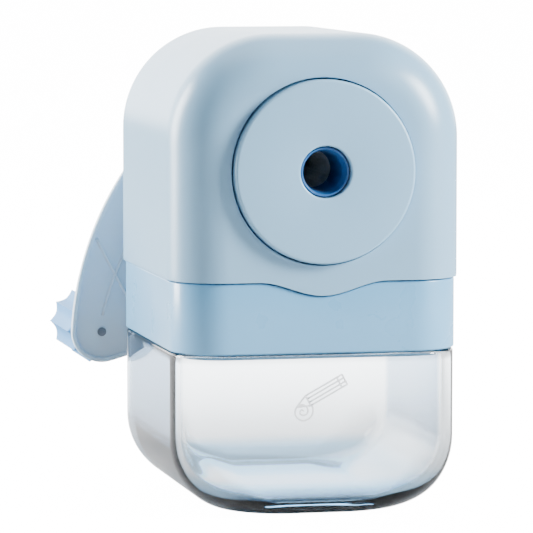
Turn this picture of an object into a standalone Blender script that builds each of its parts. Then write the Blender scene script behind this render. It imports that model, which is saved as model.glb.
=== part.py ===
"""Crank pencil sharpener: arched cover, band, clear bin, and a helical cutter that a rear crank drives.

Metres, +Z up. X is to the right seen from the front and Y runs to the back, so the front faces -Y.
The origin is on the table under the middle of the body. The pencil goes in along +Y at PENCIL_Z.
"""

import math

import bmesh
import bpy
from mathutils import Matrix, Vector

MM = 0.001

# Body
WIDTH = 68 * MM
DEPTH = 78 * MM
HEIGHT = 110 * MM
EDGE_ROUND = 12.3 * MM
TOP_ROUND = 24 * MM
COVER_EDGE_Z = 54 * MM
COVER_WALL = 2.2 * MM
WAVE_DIP = 3.2 * MM
WAVE_HALF = 15 * MM
BAND_BOTTOM_Z = 37.6 * MM
BAND_INSET = 0.6 * MM
BAND_WALL = 2.0 * MM
SKIRT_DEPTH = 1.5 * MM
SPIGOT_RISE = 2.5 * MM
DECK = 2.0 * MM
BIN_INSET = 0.8 * MM
BIN_WALL = 2.5 * MM
BIN_FLOOR = 3.5 * MM
BIN_CORNER = 17 * MM
BIN_FOOT_ROUND = 7 * MM
GAP = 0.3 * MM
RUN = 0.15 * MM
LEAST_ROUND = 1.5 * MM
STEP = 0.25 * MM
SHAVINGS_RIM = 13 * MM
WAVE_STEPS = 10

# Pencil and front plate
PENCIL_Z = 79 * MM
PENCIL_RADIUS = 4.0 * MM
CONE_ANGLE = math.radians(11)
TIP_IN = 42 * MM
DISC_RADIUS = 20.9 * MM
DISC_PROUD = 2.4 * MM
DISC_GAP = 0.5 * MM
GUIDE_SUNK = 1.2 * MM
GUIDE_LIP = 0.4 * MM
GUIDE_STEP = 1.0 * MM
GUIDE_FLANGE_THICK = 1.4 * MM
DISC_FLANGE = 1.6 * MM
DISC_SEAT_GAP = 1.1 * MM
DISC_FLANGE_WIDTH = 1.6 * MM
DISC_EDGE = 0.6 * MM
HOLE_RADIUS = 5.9 * MM
HOLE_EDGE = 0.4 * MM
GUIDE_WALL = 1.0 * MM
GUIDE_MOUTH_DEPTH = 2.2 * MM
GUIDE_FLANGE = 2.0 * MM

# Gears and cutter
CUTTER_RADIUS = 5.0 * MM
CUTTER_LENGTH = 25 * MM
CUTTER_FLUTES = 8
FLUTE_DEPTH = 0.7 * MM
HELIX_TURNS = 0.45
HELIX_STEPS = 12
RING_TEETH = 40
PINION_TEETH = 12
MESH_IN = 17 * MM
PINION_FACE = 4.4 * MM
RING_FACE = 5.0 * MM
RING_WALL = 3.2 * MM
RING_BEHIND = 1.3 * MM
PRESSURE_ANGLE = math.radians(20)
ADDENDUM = 0.72
DEDENDUM = 1.15
BACKLASH = 0.12 * MM
AXLE_RADIUS = 1.5 * MM
RING_EAR = 4.0 * MM
RING_EAR_THICK = 3.0 * MM

# Carrier, shaft and bush
CARRIER_RADIUS = 7.6 * MM
PLATE_IN = 45 * MM
CARRIER_PLATE = 4.0 * MM
CARRIER_PLATE_RADIUS = 10.5 * MM
YOKE_THICK = 3.2 * MM
YOKE_MARGIN = 2.6 * MM
SHAFT_RADIUS = 4.0 * MM
SHAFT_FLANGE = 2.5 * MM
BUSH_WALL = 1.6 * MM
BUSH_FLANGE = 2.5 * MM
BUSH_FLANGE_WIDTH = 2.4 * MM
CLIP_THICK = 0.8 * MM
CLIP_WIDTH = 1.6 * MM
CLIP_GROOVE = 0.6 * MM
WASHER_THICK = 0.8 * MM
WASHER_WIDTH = 3.0 * MM
SHAFT_SQUARE = 5.0 * MM

# Crank
ARM_GAP = 4.2 * MM
ARM_THICK = 2.0 * MM
ARM_RIM = 0.8 * MM
ARM_RIM_WIDTH = 1.3 * MM
CRANK_X = -36.5 * MM
CRANK_DROP = 44.1 * MM
ARM_SIDE_RADIUS = 79 * MM
ARM_HALF_WIDTH = 21.3 * MM
ARM_WIDEST = 15 * MM
ARM_EDGE_DROP = 1.0 * MM
ARM_EDGE_IN = 2.2 * MM
ARM_EDGE_MIDDLE = 0.8 * MM
RIDGE_START = (40.3 * MM, 15.4 * MM)
RIDGE_END = (49 * MM, -5.4 * MM)
HUB_WALL = 1.4 * MM
HUB_RADIUS = 7.5 * MM
HUB_HEIGHT = 5.0 * MM
HUB_DROP = 2.6 * MM
RIDGE_HEIGHT = 0.6 * MM
RIB_HEIGHT = 0.45 * MM
RIB_START = 9 * MM
RIB_END = 54 * MM
RIB_MIDDLE = 25 * MM
RIB_PEAK = 9.3 * MM
RIB_BEND = 8.2
RIB_WIDTH = 0.9 * MM
KNOB_TIP = 8.2 * MM
KNOB_WAIST = 6.9 * MM
KNOB_LENGTH = 28 * MM
KNOB_LOBES = 10
LOBE_STEPS = 6
KNOB_EDGE = 1.2 * MM
KNOB_WELL = 3.5 * MM
KNOB_FLOOR = 0.5 * MM
PIN_RADIUS = 1.1 * MM
PIN_HEAD = 2.4 * MM
PIN_HEAD_THICK = 1.2 * MM

# Screws
SCREW_RADIUS = 1.25 * MM
SCREW_HEAD = 2.4 * MM
SCREW_HEAD_THICK = 1.4 * MM
BOSS_RADIUS = 3.0 * MM
POST_RADIUS = 2.6 * MM
BOSS_IN_X = 8.5 * MM
BOSS_IN_Y = 13 * MM
BOSS_HEIGHT = 9 * MM
BOSS_ROOF = 1.2 * MM
SCREW_REACH = 10 * MM
WEB_HALF = 0.9 * MM

SEGMENTS = 48

FRONT_Y = -DEPTH / 2
BACK_Y = DEPTH / 2
TIP_Y = FRONT_Y + TIP_IN
MESH_Y = FRONT_Y + MESH_IN
PLATE_Y = FRONT_Y + PLATE_IN
CONE_SLOPE = math.tan(CONE_ANGLE)
APEX_Y = TIP_Y + CUTTER_RADIUS / math.sin(CONE_ANGLE)
CRANK_RADIUS = math.hypot(CRANK_X, CRANK_DROP)
DISC_SEAT_Y = FRONT_Y + COVER_WALL + DISC_SEAT_GAP
BOSS_X = WIDTH / 2 - BOSS_IN_X
BOSS_Y = DEPTH / 2 - BOSS_IN_Y
SPIGOT_TOP_Z = min(COVER_EDGE_Z + SPIGOT_RISE, PENCIL_Z - DISC_RADIUS - DISC_FLANGE_WIDTH - GAP)


def material(name, color, roughness, metallic=0.0, alpha=1.0):
    """A Principled material with a plain colour."""
    made = bpy.data.materials.new(name)
    made.use_nodes = True
    shader = made.node_tree.nodes["Principled BSDF"]
    shader.inputs["Base Color"].default_value = (*color, 1.0)
    shader.inputs["Roughness"].default_value = roughness
    shader.inputs["Metallic"].default_value = metallic
    shader.inputs["Alpha"].default_value = alpha
    made.diffuse_color = (*color, alpha)
    return made


class Shop:
    """The collections and materials that every piece is made with."""

    def __init__(self):
        for old in list(bpy.data.objects):
            bpy.data.objects.remove(old, do_unlink=True)
        self.parts = bpy.data.collections.new("pencil_sharpener")
        self.cutters = bpy.data.collections.new("cutters")
        for collection in (self.parts, self.cutters):
            bpy.context.scene.collection.children.link(collection)
        self.cutters.hide_render = True
        self.pale_blue = material("pale_blue_plastic", (0.56, 0.71, 0.81), 0.38)
        self.sky_blue = material("sky_blue_plastic", (0.42, 0.62, 0.76), 0.3)
        self.navy = material("navy_plastic", (0.03, 0.09, 0.24), 0.35)
        self.clear = material("clear_plastic", (0.86, 0.92, 0.96), 0.05, 0.0, 0.3)
        self.white = material("white_plastic", (0.8, 0.83, 0.86), 0.4)
        self.steel = material("steel", (0.55, 0.56, 0.58), 0.3, 1.0)
        self.dark_steel = material("dark_steel", (0.28, 0.29, 0.31), 0.35, 1.0)
        self.brass = material("brass", (0.75, 0.58, 0.28), 0.3, 1.0)

    def add(self, name, mesh, colour=None):
        """Puts a mesh in the scene: a part if it has a colour, a cutter if not."""
        piece = bpy.data.objects.new(name, mesh)
        if colour is None:
            self.cutters.objects.link(piece)
            piece.hide_render = True
            piece.display_type = "WIRE"
            return piece
        mesh.materials.append(colour)
        self.parts.objects.link(piece)
        return piece


SHOP = Shop()


def smooth(piece, angle=35):
    """Smooth shading with sharp edges kept."""
    piece.data.shade_smooth()
    piece.data.set_sharp_from_angle(angle=math.radians(angle))


def boolean(piece, other, operation="DIFFERENCE"):
    """Cuts or joins another object on a piece."""
    modifier = piece.modifiers.new(f"{operation.lower()}_{other.name}", "BOOLEAN")
    modifier.operation = operation
    modifier.solver = "EXACT"
    modifier.object = other


def mesh_from(name, work):
    """The finished mesh of a bmesh, with its faces pointing out."""
    bmesh.ops.recalc_face_normals(work, faces=work.faces)
    mesh = bpy.data.meshes.new(name)
    work.to_mesh(mesh)
    work.free()
    return mesh


def loft(name, rings, colour=None, tube=False):
    """A body through rings of equally many points. A tube closes on its first ring, others get flat ends."""
    work = bmesh.new()
    loops = [[work.verts.new(point) for point in ring] for ring in rings]
    count = len(loops[0])
    pairs = list(zip(loops, loops[1:] + loops[:1])) if tube else list(zip(loops, loops[1:]))
    for low, high in pairs:
        for k in range(count):
            nxt = (k + 1) % count
            work.faces.new((low[k], low[nxt], high[nxt], high[k]))
    if not tube:
        work.faces.new(loops[0][::-1])
        work.faces.new(loops[-1])
    return SHOP.add(name, mesh_from(name, work), colour)


def turned(name, outline, colour=None, steps=SEGMENTS, at=(0, 0, 0), along=(0, 1, 0)):
    """Turns a closed outline of (distance along the axis, radius) points, in order, round an axis."""
    work = bmesh.new()
    corners = [work.verts.new((radius, 0, place)) for place, radius in outline]
    for start, end in zip(corners, corners[1:] + corners[:1]):
        if start.co.x > 0 or end.co.x > 0:
            work.edges.new((start, end))
    bmesh.ops.spin(
        work,
        geom=work.verts[:] + work.edges[:],
        cent=(0, 0, 0),
        axis=(0, 0, 1),
        angle=math.tau,
        steps=steps,
        use_merge=True,
    )
    bmesh.ops.remove_doubles(work, verts=work.verts, dist=1e-6)
    turn = Vector((0, 0, 1)).rotation_difference(Vector(along)).to_matrix().to_4x4()
    bmesh.ops.transform(work, matrix=turn, verts=work.verts)
    piece = SHOP.add(name, mesh_from(name, work), colour)
    piece.location = at
    smooth(piece)
    return piece


def cylinder(name, start, end, radius, colour=None, steps=20, along=(0, 1, 0), at=(0, 0, 0)):
    """A plain cylinder between two distances along an axis."""
    return turned(name, [(start, 0), (end, 0), (end, radius), (start, radius)], colour, steps, at, along)


def box(name, low, high, colour=None):
    """A box between two corners."""
    work = bmesh.new()
    bmesh.ops.create_cube(work, size=1)
    size = [b - a for a, b in zip(low, high)]
    middle = [(a + b) / 2 for a, b in zip(low, high)]
    bmesh.ops.transform(
        work, matrix=Matrix.Translation(middle) @ Matrix.Diagonal((*size, 1)), verts=work.verts
    )
    return SHOP.add(name, mesh_from(name, work), colour)


def arc(centre, radius, start, end, steps):
    """Points on an arc between two angles in degrees, both ends included."""
    turns = [math.radians(start + (end - start) * k / steps) for k in range(steps + 1)]
    return [(centre[0] + radius * math.cos(t), centre[1] + radius * math.sin(t)) for t in turns]


def rounded_rectangle(half_x, half_y, radius, steps=6):
    """The outline of a rectangle with round corners, and points along the front where the wave runs."""
    x, y = half_x - radius, half_y - radius
    corners = [((x, y), 0), ((-x, y), 90), ((-x, -y), 180)]
    outline = [point for centre, start in corners for point in arc(centre, radius, start, start + 90, steps)]
    outline += [(WAVE_HALF * share, -half_y) for share in wave_shares()]
    return outline + arc((x, -y), radius, 270, 360, steps)


def wave_shares():
    """Where the wave's points lie, as shares of its half width from left to right."""
    return [2 * k / WAVE_STEPS - 1 for k in range(WAVE_STEPS + 1)]


def plan_ring(inset, height, extra_x=0.0, extra_y=0.0):
    """A level ring of the body's plan, moved in by an inset. The height may be a function of x and y."""
    half_x, half_y = WIDTH / 2 - inset - extra_x, DEPTH / 2 - inset - extra_y
    radius = max(EDGE_ROUND - inset, LEAST_ROUND)
    outline = rounded_rectangle(half_x, half_y, min(radius, half_x - WAVE_HALF))
    return [(x, y, height(x, y) if callable(height) else height) for x, y in outline]


def cover_edge(x, y):
    """The height of the cover's lower edge: level, with one soft dip in the middle of the front."""
    if y > 0 or abs(x) > WAVE_HALF:
        return COVER_EDGE_Z
    return COVER_EDGE_Z - WAVE_DIP * (1 + math.cos(math.pi * x / WAVE_HALF)) / 2


def rounded_block(name, inset, colour=None):
    """The arched body as a solid: the arch drawn from the front, with its front and back edges round."""
    low = -EDGE_ROUND
    half = WIDTH / 2 - EDGE_ROUND
    top = HEIGHT - EDGE_ROUND
    corner = TOP_ROUND - EDGE_ROUND
    outline = [(half, low), *arc((half - corner, top - corner), corner, 0, 90, 5)]
    outline += [*arc((corner - half, top - corner), corner, 90, 180, 5), (-half, low)]
    curve = bpy.data.curves.new(name, "CURVE")
    curve.dimensions = "2D"
    curve.fill_mode = "BOTH"
    curve.extrude = DEPTH / 2 - EDGE_ROUND
    curve.bevel_depth = EDGE_ROUND - inset
    curve.bevel_resolution = 5
    spline = curve.splines.new("POLY")
    spline.points.add(len(outline) - 1)
    spline.use_cyclic_u = True
    for point, (x, z) in zip(spline.points, outline):
        point.co = (x, z, 0, 1)
    guide = bpy.data.objects.new(name + "_curve", curve)
    SHOP.cutters.objects.link(guide)
    bpy.context.view_layer.update()
    mesh = bpy.data.meshes.new_from_object(guide.evaluated_get(bpy.context.evaluated_depsgraph_get()))
    bpy.data.objects.remove(guide)
    work = bmesh.new()
    work.from_mesh(mesh)
    bmesh.ops.remove_doubles(work, verts=work.verts, dist=1e-6)
    bmesh.ops.transform(work, matrix=Matrix.Rotation(math.pi / 2, 4, "X"), verts=work.verts)
    bpy.data.meshes.remove(mesh)
    return SHOP.add(name, mesh_from(name, work), colour)


def make_bin():
    """The clear bin: thick walls, a flat floor, and large round lower corners."""
    outer, inner = [], []
    for k in range(9):
        turn = math.radians(90 * k / 8)
        height = BIN_CORNER * (1 - math.cos(turn))
        side = BIN_CORNER * (1 - math.sin(turn))
        rise = min(height / BIN_FOOT_ROUND, 1)
        foot = BIN_FOOT_ROUND * (1 - math.sqrt(1 - (1 - rise) ** 2))
        outer.append(plan_ring(BIN_INSET, height, side, foot))
        inner.append(plan_ring(BIN_INSET + BIN_WALL, height + BIN_FLOOR, side * 0.82, foot * 0.5))
    rim = BAND_BOTTOM_Z - GAP
    outer.append(plan_ring(BIN_INSET, rim))
    inner.append(plan_ring(BIN_INSET + BIN_WALL, rim))
    piece = loft("shavings_bin", outer + inner[::-1], SHOP.clear)
    smooth(piece, 50)


def make_collar():
    """The band between cover and bin, with a spigot up into the cover, a skirt into the bin and a deck."""
    shelf = COVER_WALL + GAP
    skirt = BIN_INSET + BIN_WALL + GAP
    low = BAND_BOTTOM_Z
    deck = COVER_EDGE_Z - WAVE_DIP - GAP
    rings = [
        plan_ring(BAND_INSET, low),
        plan_ring(BAND_INSET, lambda x, y: cover_edge(x, y) - GAP),
        plan_ring(shelf, lambda x, y: cover_edge(x, y) - GAP),
        plan_ring(shelf, SPIGOT_TOP_Z),
        plan_ring(shelf + BAND_WALL, SPIGOT_TOP_Z),
        plan_ring(shelf + BAND_WALL, deck),
        plan_ring(SHAVINGS_RIM, deck),
        plan_ring(SHAVINGS_RIM, deck - DECK),
        plan_ring(skirt + BAND_WALL, deck - DECK),
        plan_ring(skirt + BAND_WALL, low - SKIRT_DEPTH),
        plan_ring(skirt, low - SKIRT_DEPTH),
        plan_ring(skirt, low),
    ]
    piece = loft("collar", rings, SHOP.sky_blue, tube=True)
    smooth(piece)
    for name, x, y in screw_places():
        below = (x, y, deck - SCREW_REACH)
        hole = cylinder(f"hole_{name}", 0, 2 * SCREW_REACH, SCREW_RADIUS + GAP, along=(0, 0, 1), at=below)
        boolean(piece, hole)
    return deck


def screw_places():
    """The four housing screws, named by their corner."""
    for side, x in (("left", -BOSS_X), ("right", BOSS_X)):
        for end, y in (("front", -BOSS_Y), ("back", BOSS_Y)):
            yield f"{end}_{side}", x, y


def make_cover(deck):
    """The arched cover: a shell with a waved front edge, the plate's opening, the bush hole and four bosses."""
    piece = rounded_block("upper_housing", 0, SHOP.pale_blue)
    boolean(piece, rounded_block("cover_inside", COVER_WALL))
    reach = DEPTH
    wave = [(-WAVE_HALF * share, cover_edge(WAVE_HALF * share, FRONT_Y)) for share in wave_shares()]
    level = [(x, COVER_EDGE_Z) for x, z in wave]
    frame = [(-reach, COVER_EDGE_Z), (-reach, -reach), (reach, -reach), (reach, COVER_EDGE_Z)]
    runs = [(-reach, wave), (0, wave), (MM, level), (reach, level)]
    below = loft("below_cover", [[(x, y, z) for x, z in frame + run] for y, run in runs])
    boolean(piece, below)
    opening = cylinder(
        "plate_opening", FRONT_Y - 5 * MM, FRONT_Y + COVER_WALL + 1 * MM, DISC_RADIUS + DISC_GAP,
        steps=56, at=(0, 0, PENCIL_Z),
    )
    boolean(piece, opening)
    bush = cylinder(
        "bush_hole", BACK_Y - COVER_WALL - MM, BACK_Y + MM, SHAFT_RADIUS + RUN + BUSH_WALL + GAP,
        at=(0, 0, PENCIL_Z),
    )
    boolean(piece, bush)
    for name, x, y in screw_places():
        foot, top = deck + GAP + STEP, deck + BOSS_HEIGHT
        bore, bore_top = SCREW_RADIUS + GAP, deck + BOSS_HEIGHT - BOSS_ROOF
        outline = [(foot, bore), (bore_top, bore), (bore_top, 0), (top, 0)]
        outline += [(top, BOSS_RADIUS), (foot, BOSS_RADIUS)]
        boss = turned(f"boss_{name}", outline, None, 20, (x, y, 0), (0, 0, 1))
        root = math.copysign(WIDTH / 2 - COVER_WALL * 0.4, x)
        ends = sorted((x + math.copysign(BOSS_RADIUS * 0.7, x), root))
        low, high = SPIGOT_TOP_Z + GAP, top - 2 * STEP
        wall = box(f"web_{name}", (ends[0], y - WEB_HALF, low), (ends[1], y + WEB_HALF, high))
        boolean(piece, wall, "UNION")
        boolean(piece, boss, "UNION")
    smooth(piece)


def screw(name, at, along, length, head=SCREW_HEAD):
    """A screw whose head's seat is at a point and whose shank runs on from it."""
    outline = [
        (-SCREW_HEAD_THICK, 0), (length, 0),
        (length, SCREW_RADIUS / 2), (length - SCREW_RADIUS, SCREW_RADIUS),
        (0, SCREW_RADIUS), (0, head), (-SCREW_HEAD_THICK * 0.6, head), (-SCREW_HEAD_THICK, head * 0.6),
    ]
    return turned(name, outline, SHOP.steel, 12, at, along)


def make_housing_screws(deck):
    """Four screws up through the deck into the cover's bosses."""
    for name, x, y in screw_places():
        screw(f"housing_screw_{name}", (x, y, deck - DECK - GAP), (0, 0, 1), DECK + BOSS_HEIGHT - 2 * MM)


def make_front():
    """The raised round plate and the dark funnel behind its hole."""
    face = FRONT_Y - DISC_PROUD
    seat = DISC_SEAT_Y
    flange = DISC_RADIUS + DISC_FLANGE_WIDTH
    outline = [
        (face + HOLE_EDGE, HOLE_RADIUS), (face, HOLE_RADIUS + HOLE_EDGE), (face, DISC_RADIUS - DISC_EDGE),
        (face + DISC_EDGE * 0.3, DISC_RADIUS - DISC_EDGE * 0.3), (face + DISC_EDGE, DISC_RADIUS),
        (seat, DISC_RADIUS), (seat, flange), (seat + DISC_FLANGE, flange), (seat + DISC_FLANGE, HOLE_RADIUS),
    ]
    turned("guide_disc", outline, SHOP.pale_blue, 56, (0, 0, PENCIL_Z))
    outside = HOLE_RADIUS - GAP
    bore = outside - GUIDE_WALL
    stop = seat + DISC_FLANGE + GAP
    mouth, lip = face + GUIDE_SUNK, outside - GUIDE_LIP
    step, end, neck = YOKE_FRONT - GAP, YOKE_FRONT + YOKE_THICK - GAP, outside - GUIDE_STEP
    outline = [
        (mouth, outside), (mouth, lip), (mouth + GUIDE_MOUTH_DEPTH, bore), (end, PENCIL_RADIUS + GAP),
        (end, neck), (step, neck), (step, outside), (stop + GUIDE_FLANGE_THICK, outside),
        (stop + GUIDE_FLANGE_THICK, outside + GUIDE_FLANGE), (stop, outside + GUIDE_FLANGE), (stop, outside),
    ]
    turned("pencil_guide", outline[::-1], SHOP.navy, 32, (0, 0, PENCIL_Z))


# The cutter's frame: its axis meets the pencil's at the apex, and leans by the cone's angle.
CUTTER_UP = Vector((0, 0, 1))
CUTTER_ALONG = Vector((0, math.cos(CONE_ANGLE), 0)) - math.sin(CONE_ANGLE) * CUTTER_UP
APEX = Vector((0, APEX_Y, PENCIL_Z))
MESH_REACH = (APEX_Y - MESH_Y) / math.cos(CONE_ANGLE)
PINION_CONE = math.atan2(
    math.sin(CONE_ANGLE) * PINION_TEETH / RING_TEETH, 1 - math.cos(CONE_ANGLE) * PINION_TEETH / RING_TEETH
)
RING_CONE = CONE_ANGLE + PINION_CONE
PINION_PITCH = MESH_REACH * math.tan(PINION_CONE)
RING_PITCH = PINION_PITCH * RING_TEETH / PINION_TEETH
MODULE = 2 * PINION_PITCH / PINION_TEETH
YOKE_FRONT = MESH_Y - PINION_FACE * 0.75 - 1.2 * MM - YOKE_THICK


def on_cutter_axis(reach):
    """The point on the cutter's axis at a distance forward of the apex."""
    return APEX - CUTTER_ALONG * reach


def involute(angle):
    """The involute function of a pressure angle."""
    return math.tan(angle) - angle


def half_angle(radius, pitch, half_thickness):
    """The half angle of an involute tooth at a radius, from its half angle at the pitch radius."""
    base = pitch * math.cos(PRESSURE_ANGLE)
    there = math.acos(min(1, base / max(radius, base)))
    return half_thickness + involute(PRESSURE_ANGLE) - involute(there)


def gear_outline(teeth, pitch, inside, outside, half_thickness):
    """Polar points of a gear, tooth by tooth, with straight flanks between their two involute ends."""
    points = []
    for tooth in range(teeth):
        middle = math.tau * tooth / teeth
        flank = [inside, outside]
        rise = [(r, middle - half_angle(r, pitch, half_thickness)) for r in flank]
        fall = [(r, middle + half_angle(r, pitch, half_thickness)) for r in flank[::-1]]
        points += rise + fall
    return points


def pinion_points():
    """The pinion's polar outline at the mesh plane."""
    half = math.pi / (2 * PINION_TEETH) - BACKLASH / 2 / PINION_PITCH
    return gear_outline(
        PINION_TEETH, PINION_PITCH, PINION_PITCH - DEDENDUM * MODULE * 0.9, PINION_PITCH + ADDENDUM * MODULE, half
    )


def ring_points():
    """The ring gear's inner polar outline at the mesh plane, with a tooth gap at angle zero."""
    half = math.pi / (2 * RING_TEETH) + BACKLASH / 2 / RING_PITCH
    return gear_outline(RING_TEETH, RING_PITCH, RING_PITCH - ADDENDUM * MODULE, RING_PITCH + DEDENDUM * MODULE, half)


def make_ring_gear():
    """The fixed internal gear, tapering to the apex, with two ears for its screws."""
    outline = ring_points()
    back = MESH_Y + RING_BEHIND
    front = back - RING_FACE
    outer = RING_PITCH + DEDENDUM * MODULE + RING_WALL

    def ring(y, radius=None):
        scale = (APEX_Y - y) / (APEX_Y - MESH_Y)
        return [
            ((radius or r * scale) * math.sin(a), y, PENCIL_Z + (radius or r * scale) * math.cos(a)) for r, a in outline
        ]

    piece = loft("ring_gear", [ring(front), ring(front, outer), ring(back, outer), ring(back)], SHOP.white, tube=True)
    ear_y = (front + STEP, front + STEP + RING_EAR_THICK)
    for side, x in (("left", -1), ("right", 1)):
        place = x * (outer + SCREW_HEAD + GAP)
        ear = cylinder(f"ear_{side}", *ear_y, RING_EAR, at=(place, 0, PENCIL_Z))
        bore = cylinder(f"ear_bore_{side}", ear_y[0] - MM, ear_y[1] + MM, SCREW_RADIUS + GAP, at=(place, 0, PENCIL_Z))
        boolean(piece, ear, "UNION")
        boolean(piece, bore)
        root = DISC_SEAT_Y + DISC_FLANGE / 2
        post = cylinder(f"post_{side}", root, ear_y[0] - GAP, POST_RADIUS, steps=24, at=(place, 0, PENCIL_Z))
        pilot = cylinder(
            f"post_pilot_{side}", ear_y[0] - 6 * MM, ear_y[0] + MM, SCREW_RADIUS + GAP, steps=16, at=(place, 0, PENCIL_Z)
        )
        plate = bpy.data.objects["guide_disc"]
        boolean(plate, post, "UNION")
        boolean(plate, pilot)
        screw(f"ring_screw_{side}", (place, ear_y[1] + GAP, PENCIL_Z), (0, -1, 0), RING_EAR_THICK + 4 * MM)


def cutter_ring(reach, outline, turn=0.0):
    """A ring of polar points square to the cutter's axis, with angle zero away from the pencil."""
    away = CUTTER_UP * math.cos(CONE_ANGLE) + Vector((0, math.sin(CONE_ANGLE), 0))
    across = CUTTER_ALONG.cross(away) * -1
    centre = on_cutter_axis(reach)
    return [centre + away * (r * math.cos(a + turn)) + across * (r * math.sin(a + turn)) for r, a in outline]


def set_origin(piece, point):
    """Moves an object's origin to a point, leaving its mesh where it is."""
    piece.data.transform(Matrix.Translation(-Vector(point)) @ piece.matrix_basis)
    piece.matrix_basis = Matrix.Translation(point)


def make_cutter():
    """The helical cutter, its pinion, and the axle they turn on."""
    front, back = MESH_REACH + PINION_FACE * 0.75, MESH_REACH - PINION_FACE * 0.25
    outline = pinion_points()
    rings = [
        cutter_ring(reach, [(r * reach / MESH_REACH, a) for r, a in outline]) for reach in (front, back)
    ]
    bore = [(AXLE_RADIUS + RUN, a) for r, a in outline]
    rings += [cutter_ring(back, bore), cutter_ring(front, bore)]
    pinion = loft("cutter_pinion", rings, SHOP.brass, tube=True)
    set_origin(pinion, on_cutter_axis(MESH_REACH))

    start, end = back - GAP, back - GAP - CUTTER_LENGTH
    pitch = math.tau / CUTTER_FLUTES
    floor = CUTTER_RADIUS - FLUTE_DEPTH
    flute = [(CUTTER_RADIUS, 0), (CUTTER_RADIUS, 0.2), (floor, 0.3), (floor, 0.65)]
    blade = [(r, pitch * (k + share)) for k in range(CUTTER_FLUTES) for r, share in flute]
    rings = []
    for k in range(HELIX_STEPS + 1):
        share = k / HELIX_STEPS
        rings.append(cutter_ring(start + (end - start) * share, blade, math.tau * HELIX_TURNS * share))
    cutter = loft("helical_cutter", rings, SHOP.dark_steel)
    bore = cylinder(
        "cutter_bore", 0, start - end + 2 * MM, AXLE_RADIUS + RUN, None, 20, CUTTER_ALONG, on_cutter_axis(start + MM)
    )
    boolean(cutter, bore)
    set_origin(cutter, on_cutter_axis(MESH_REACH))

    long_start = (APEX_Y - YOKE_FRONT) / math.cos(CONE_ANGLE) - 0.6 * MM
    long_end = (APEX_Y - PLATE_Y - CARRIER_PLATE) / math.cos(CONE_ANGLE) + 0.8 * MM
    length = long_start - long_end
    cylinder("cutter_axle", 0, length, AXLE_RADIUS, SHOP.steel, 20, CUTTER_ALONG, on_cutter_axis(long_start))


def make_carrier():
    """The turning body round the pencil: a front yoke, a coned tube with a window, and a rear plate."""
    yoke_reach = (APEX_Y - YOKE_FRONT - YOKE_THICK / 2) * CONE_SLOPE
    yoke_end = yoke_reach + AXLE_RADIUS + YOKE_MARGIN
    sleeve = HOLE_RADIUS - GAP - MM
    front = YOKE_FRONT
    back = PLATE_Y + CARRIER_PLATE
    cone_start = TIP_Y - (PENCIL_RADIUS + 0.4 * MM) / CONE_SLOPE
    bore_end = PLATE_Y - 0.6 * MM
    bore_tip = max(0.6 * MM, (TIP_Y - bore_end) * CONE_SLOPE + 1.4 * MM)
    outline = [
        (front, sleeve + RUN + GAP), (front + YOKE_THICK, sleeve + RUN + GAP), (front + YOKE_THICK + 0.2 * MM, PENCIL_RADIUS + 0.4 * MM),
        (cone_start, PENCIL_RADIUS + 0.4 * MM), (bore_end, bore_tip), (bore_end, 0), (back, 0),
        (back, CARRIER_PLATE_RADIUS), (PLATE_Y, CARRIER_PLATE_RADIUS), (PLATE_Y, CARRIER_RADIUS * 0.8),
        (front + YOKE_THICK, CARRIER_RADIUS), (front, CARRIER_RADIUS),
    ]
    piece = turned("cutter_carrier", outline, SHOP.white, 32, (0, 0, PENCIL_Z))
    half = AXLE_RADIUS + YOKE_MARGIN
    yoke = [(-half * 1.5, 0), (half * 1.5, 0)] + arc((0, yoke_end - half), half, 0, 180, 12)
    arm = loft(
        "yoke_arm",
        [[(x, y, PENCIL_Z + CARRIER_RADIUS * 0.85 + z if k < 2 else PENCIL_Z + z) for k, (x, z) in enumerate(yoke)]
         for y in (front + 0.1 * MM, front + YOKE_THICK - 0.1 * MM)],
    )
    boolean(piece, arm, "UNION")
    reach = (APEX_Y - YOKE_FRONT - YOKE_THICK) / math.cos(CONE_ANGLE) - 0.5 * MM
    end = (APEX_Y - PLATE_Y) / math.cos(CONE_ANGLE) + 1.0 * MM
    window = cylinder(
        "cutter_window", 0, reach - end, CUTTER_RADIUS + 0.5 * MM, None, 32, CUTTER_ALONG, on_cutter_axis(reach)
    )
    boolean(piece, window)
    start = (APEX_Y - YOKE_FRONT) / math.cos(CONE_ANGLE) + 3 * MM
    stop = (APEX_Y - back) / math.cos(CONE_ANGLE) - 3 * MM
    bore = cylinder("axle_bore", 0, start - stop, AXLE_RADIUS + GAP, None, 24, CUTTER_ALONG, on_cutter_axis(start))
    boolean(piece, bore)
    flange = back + GAP
    for side, x in (("left", -1), ("right", 1)):
        place = (x * CARRIER_PLATE_RADIUS * 0.7, 0, PENCIL_Z - CARRIER_RADIUS * 0.3)
        hole = cylinder(f"carrier_hole_{side}", PLATE_Y + 0.8 * MM, back + MM, SCREW_RADIUS + GAP, at=place)
        boolean(piece, hole)
        seat = (place[0], flange + SHAFT_FLANGE + GAP, place[2])
        screw(f"carrier_screw_{side}", seat, (0, -1, 0), SHAFT_FLANGE + CARRIER_PLATE - 1.4 * MM)
    smooth(piece)
    return flange


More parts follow.
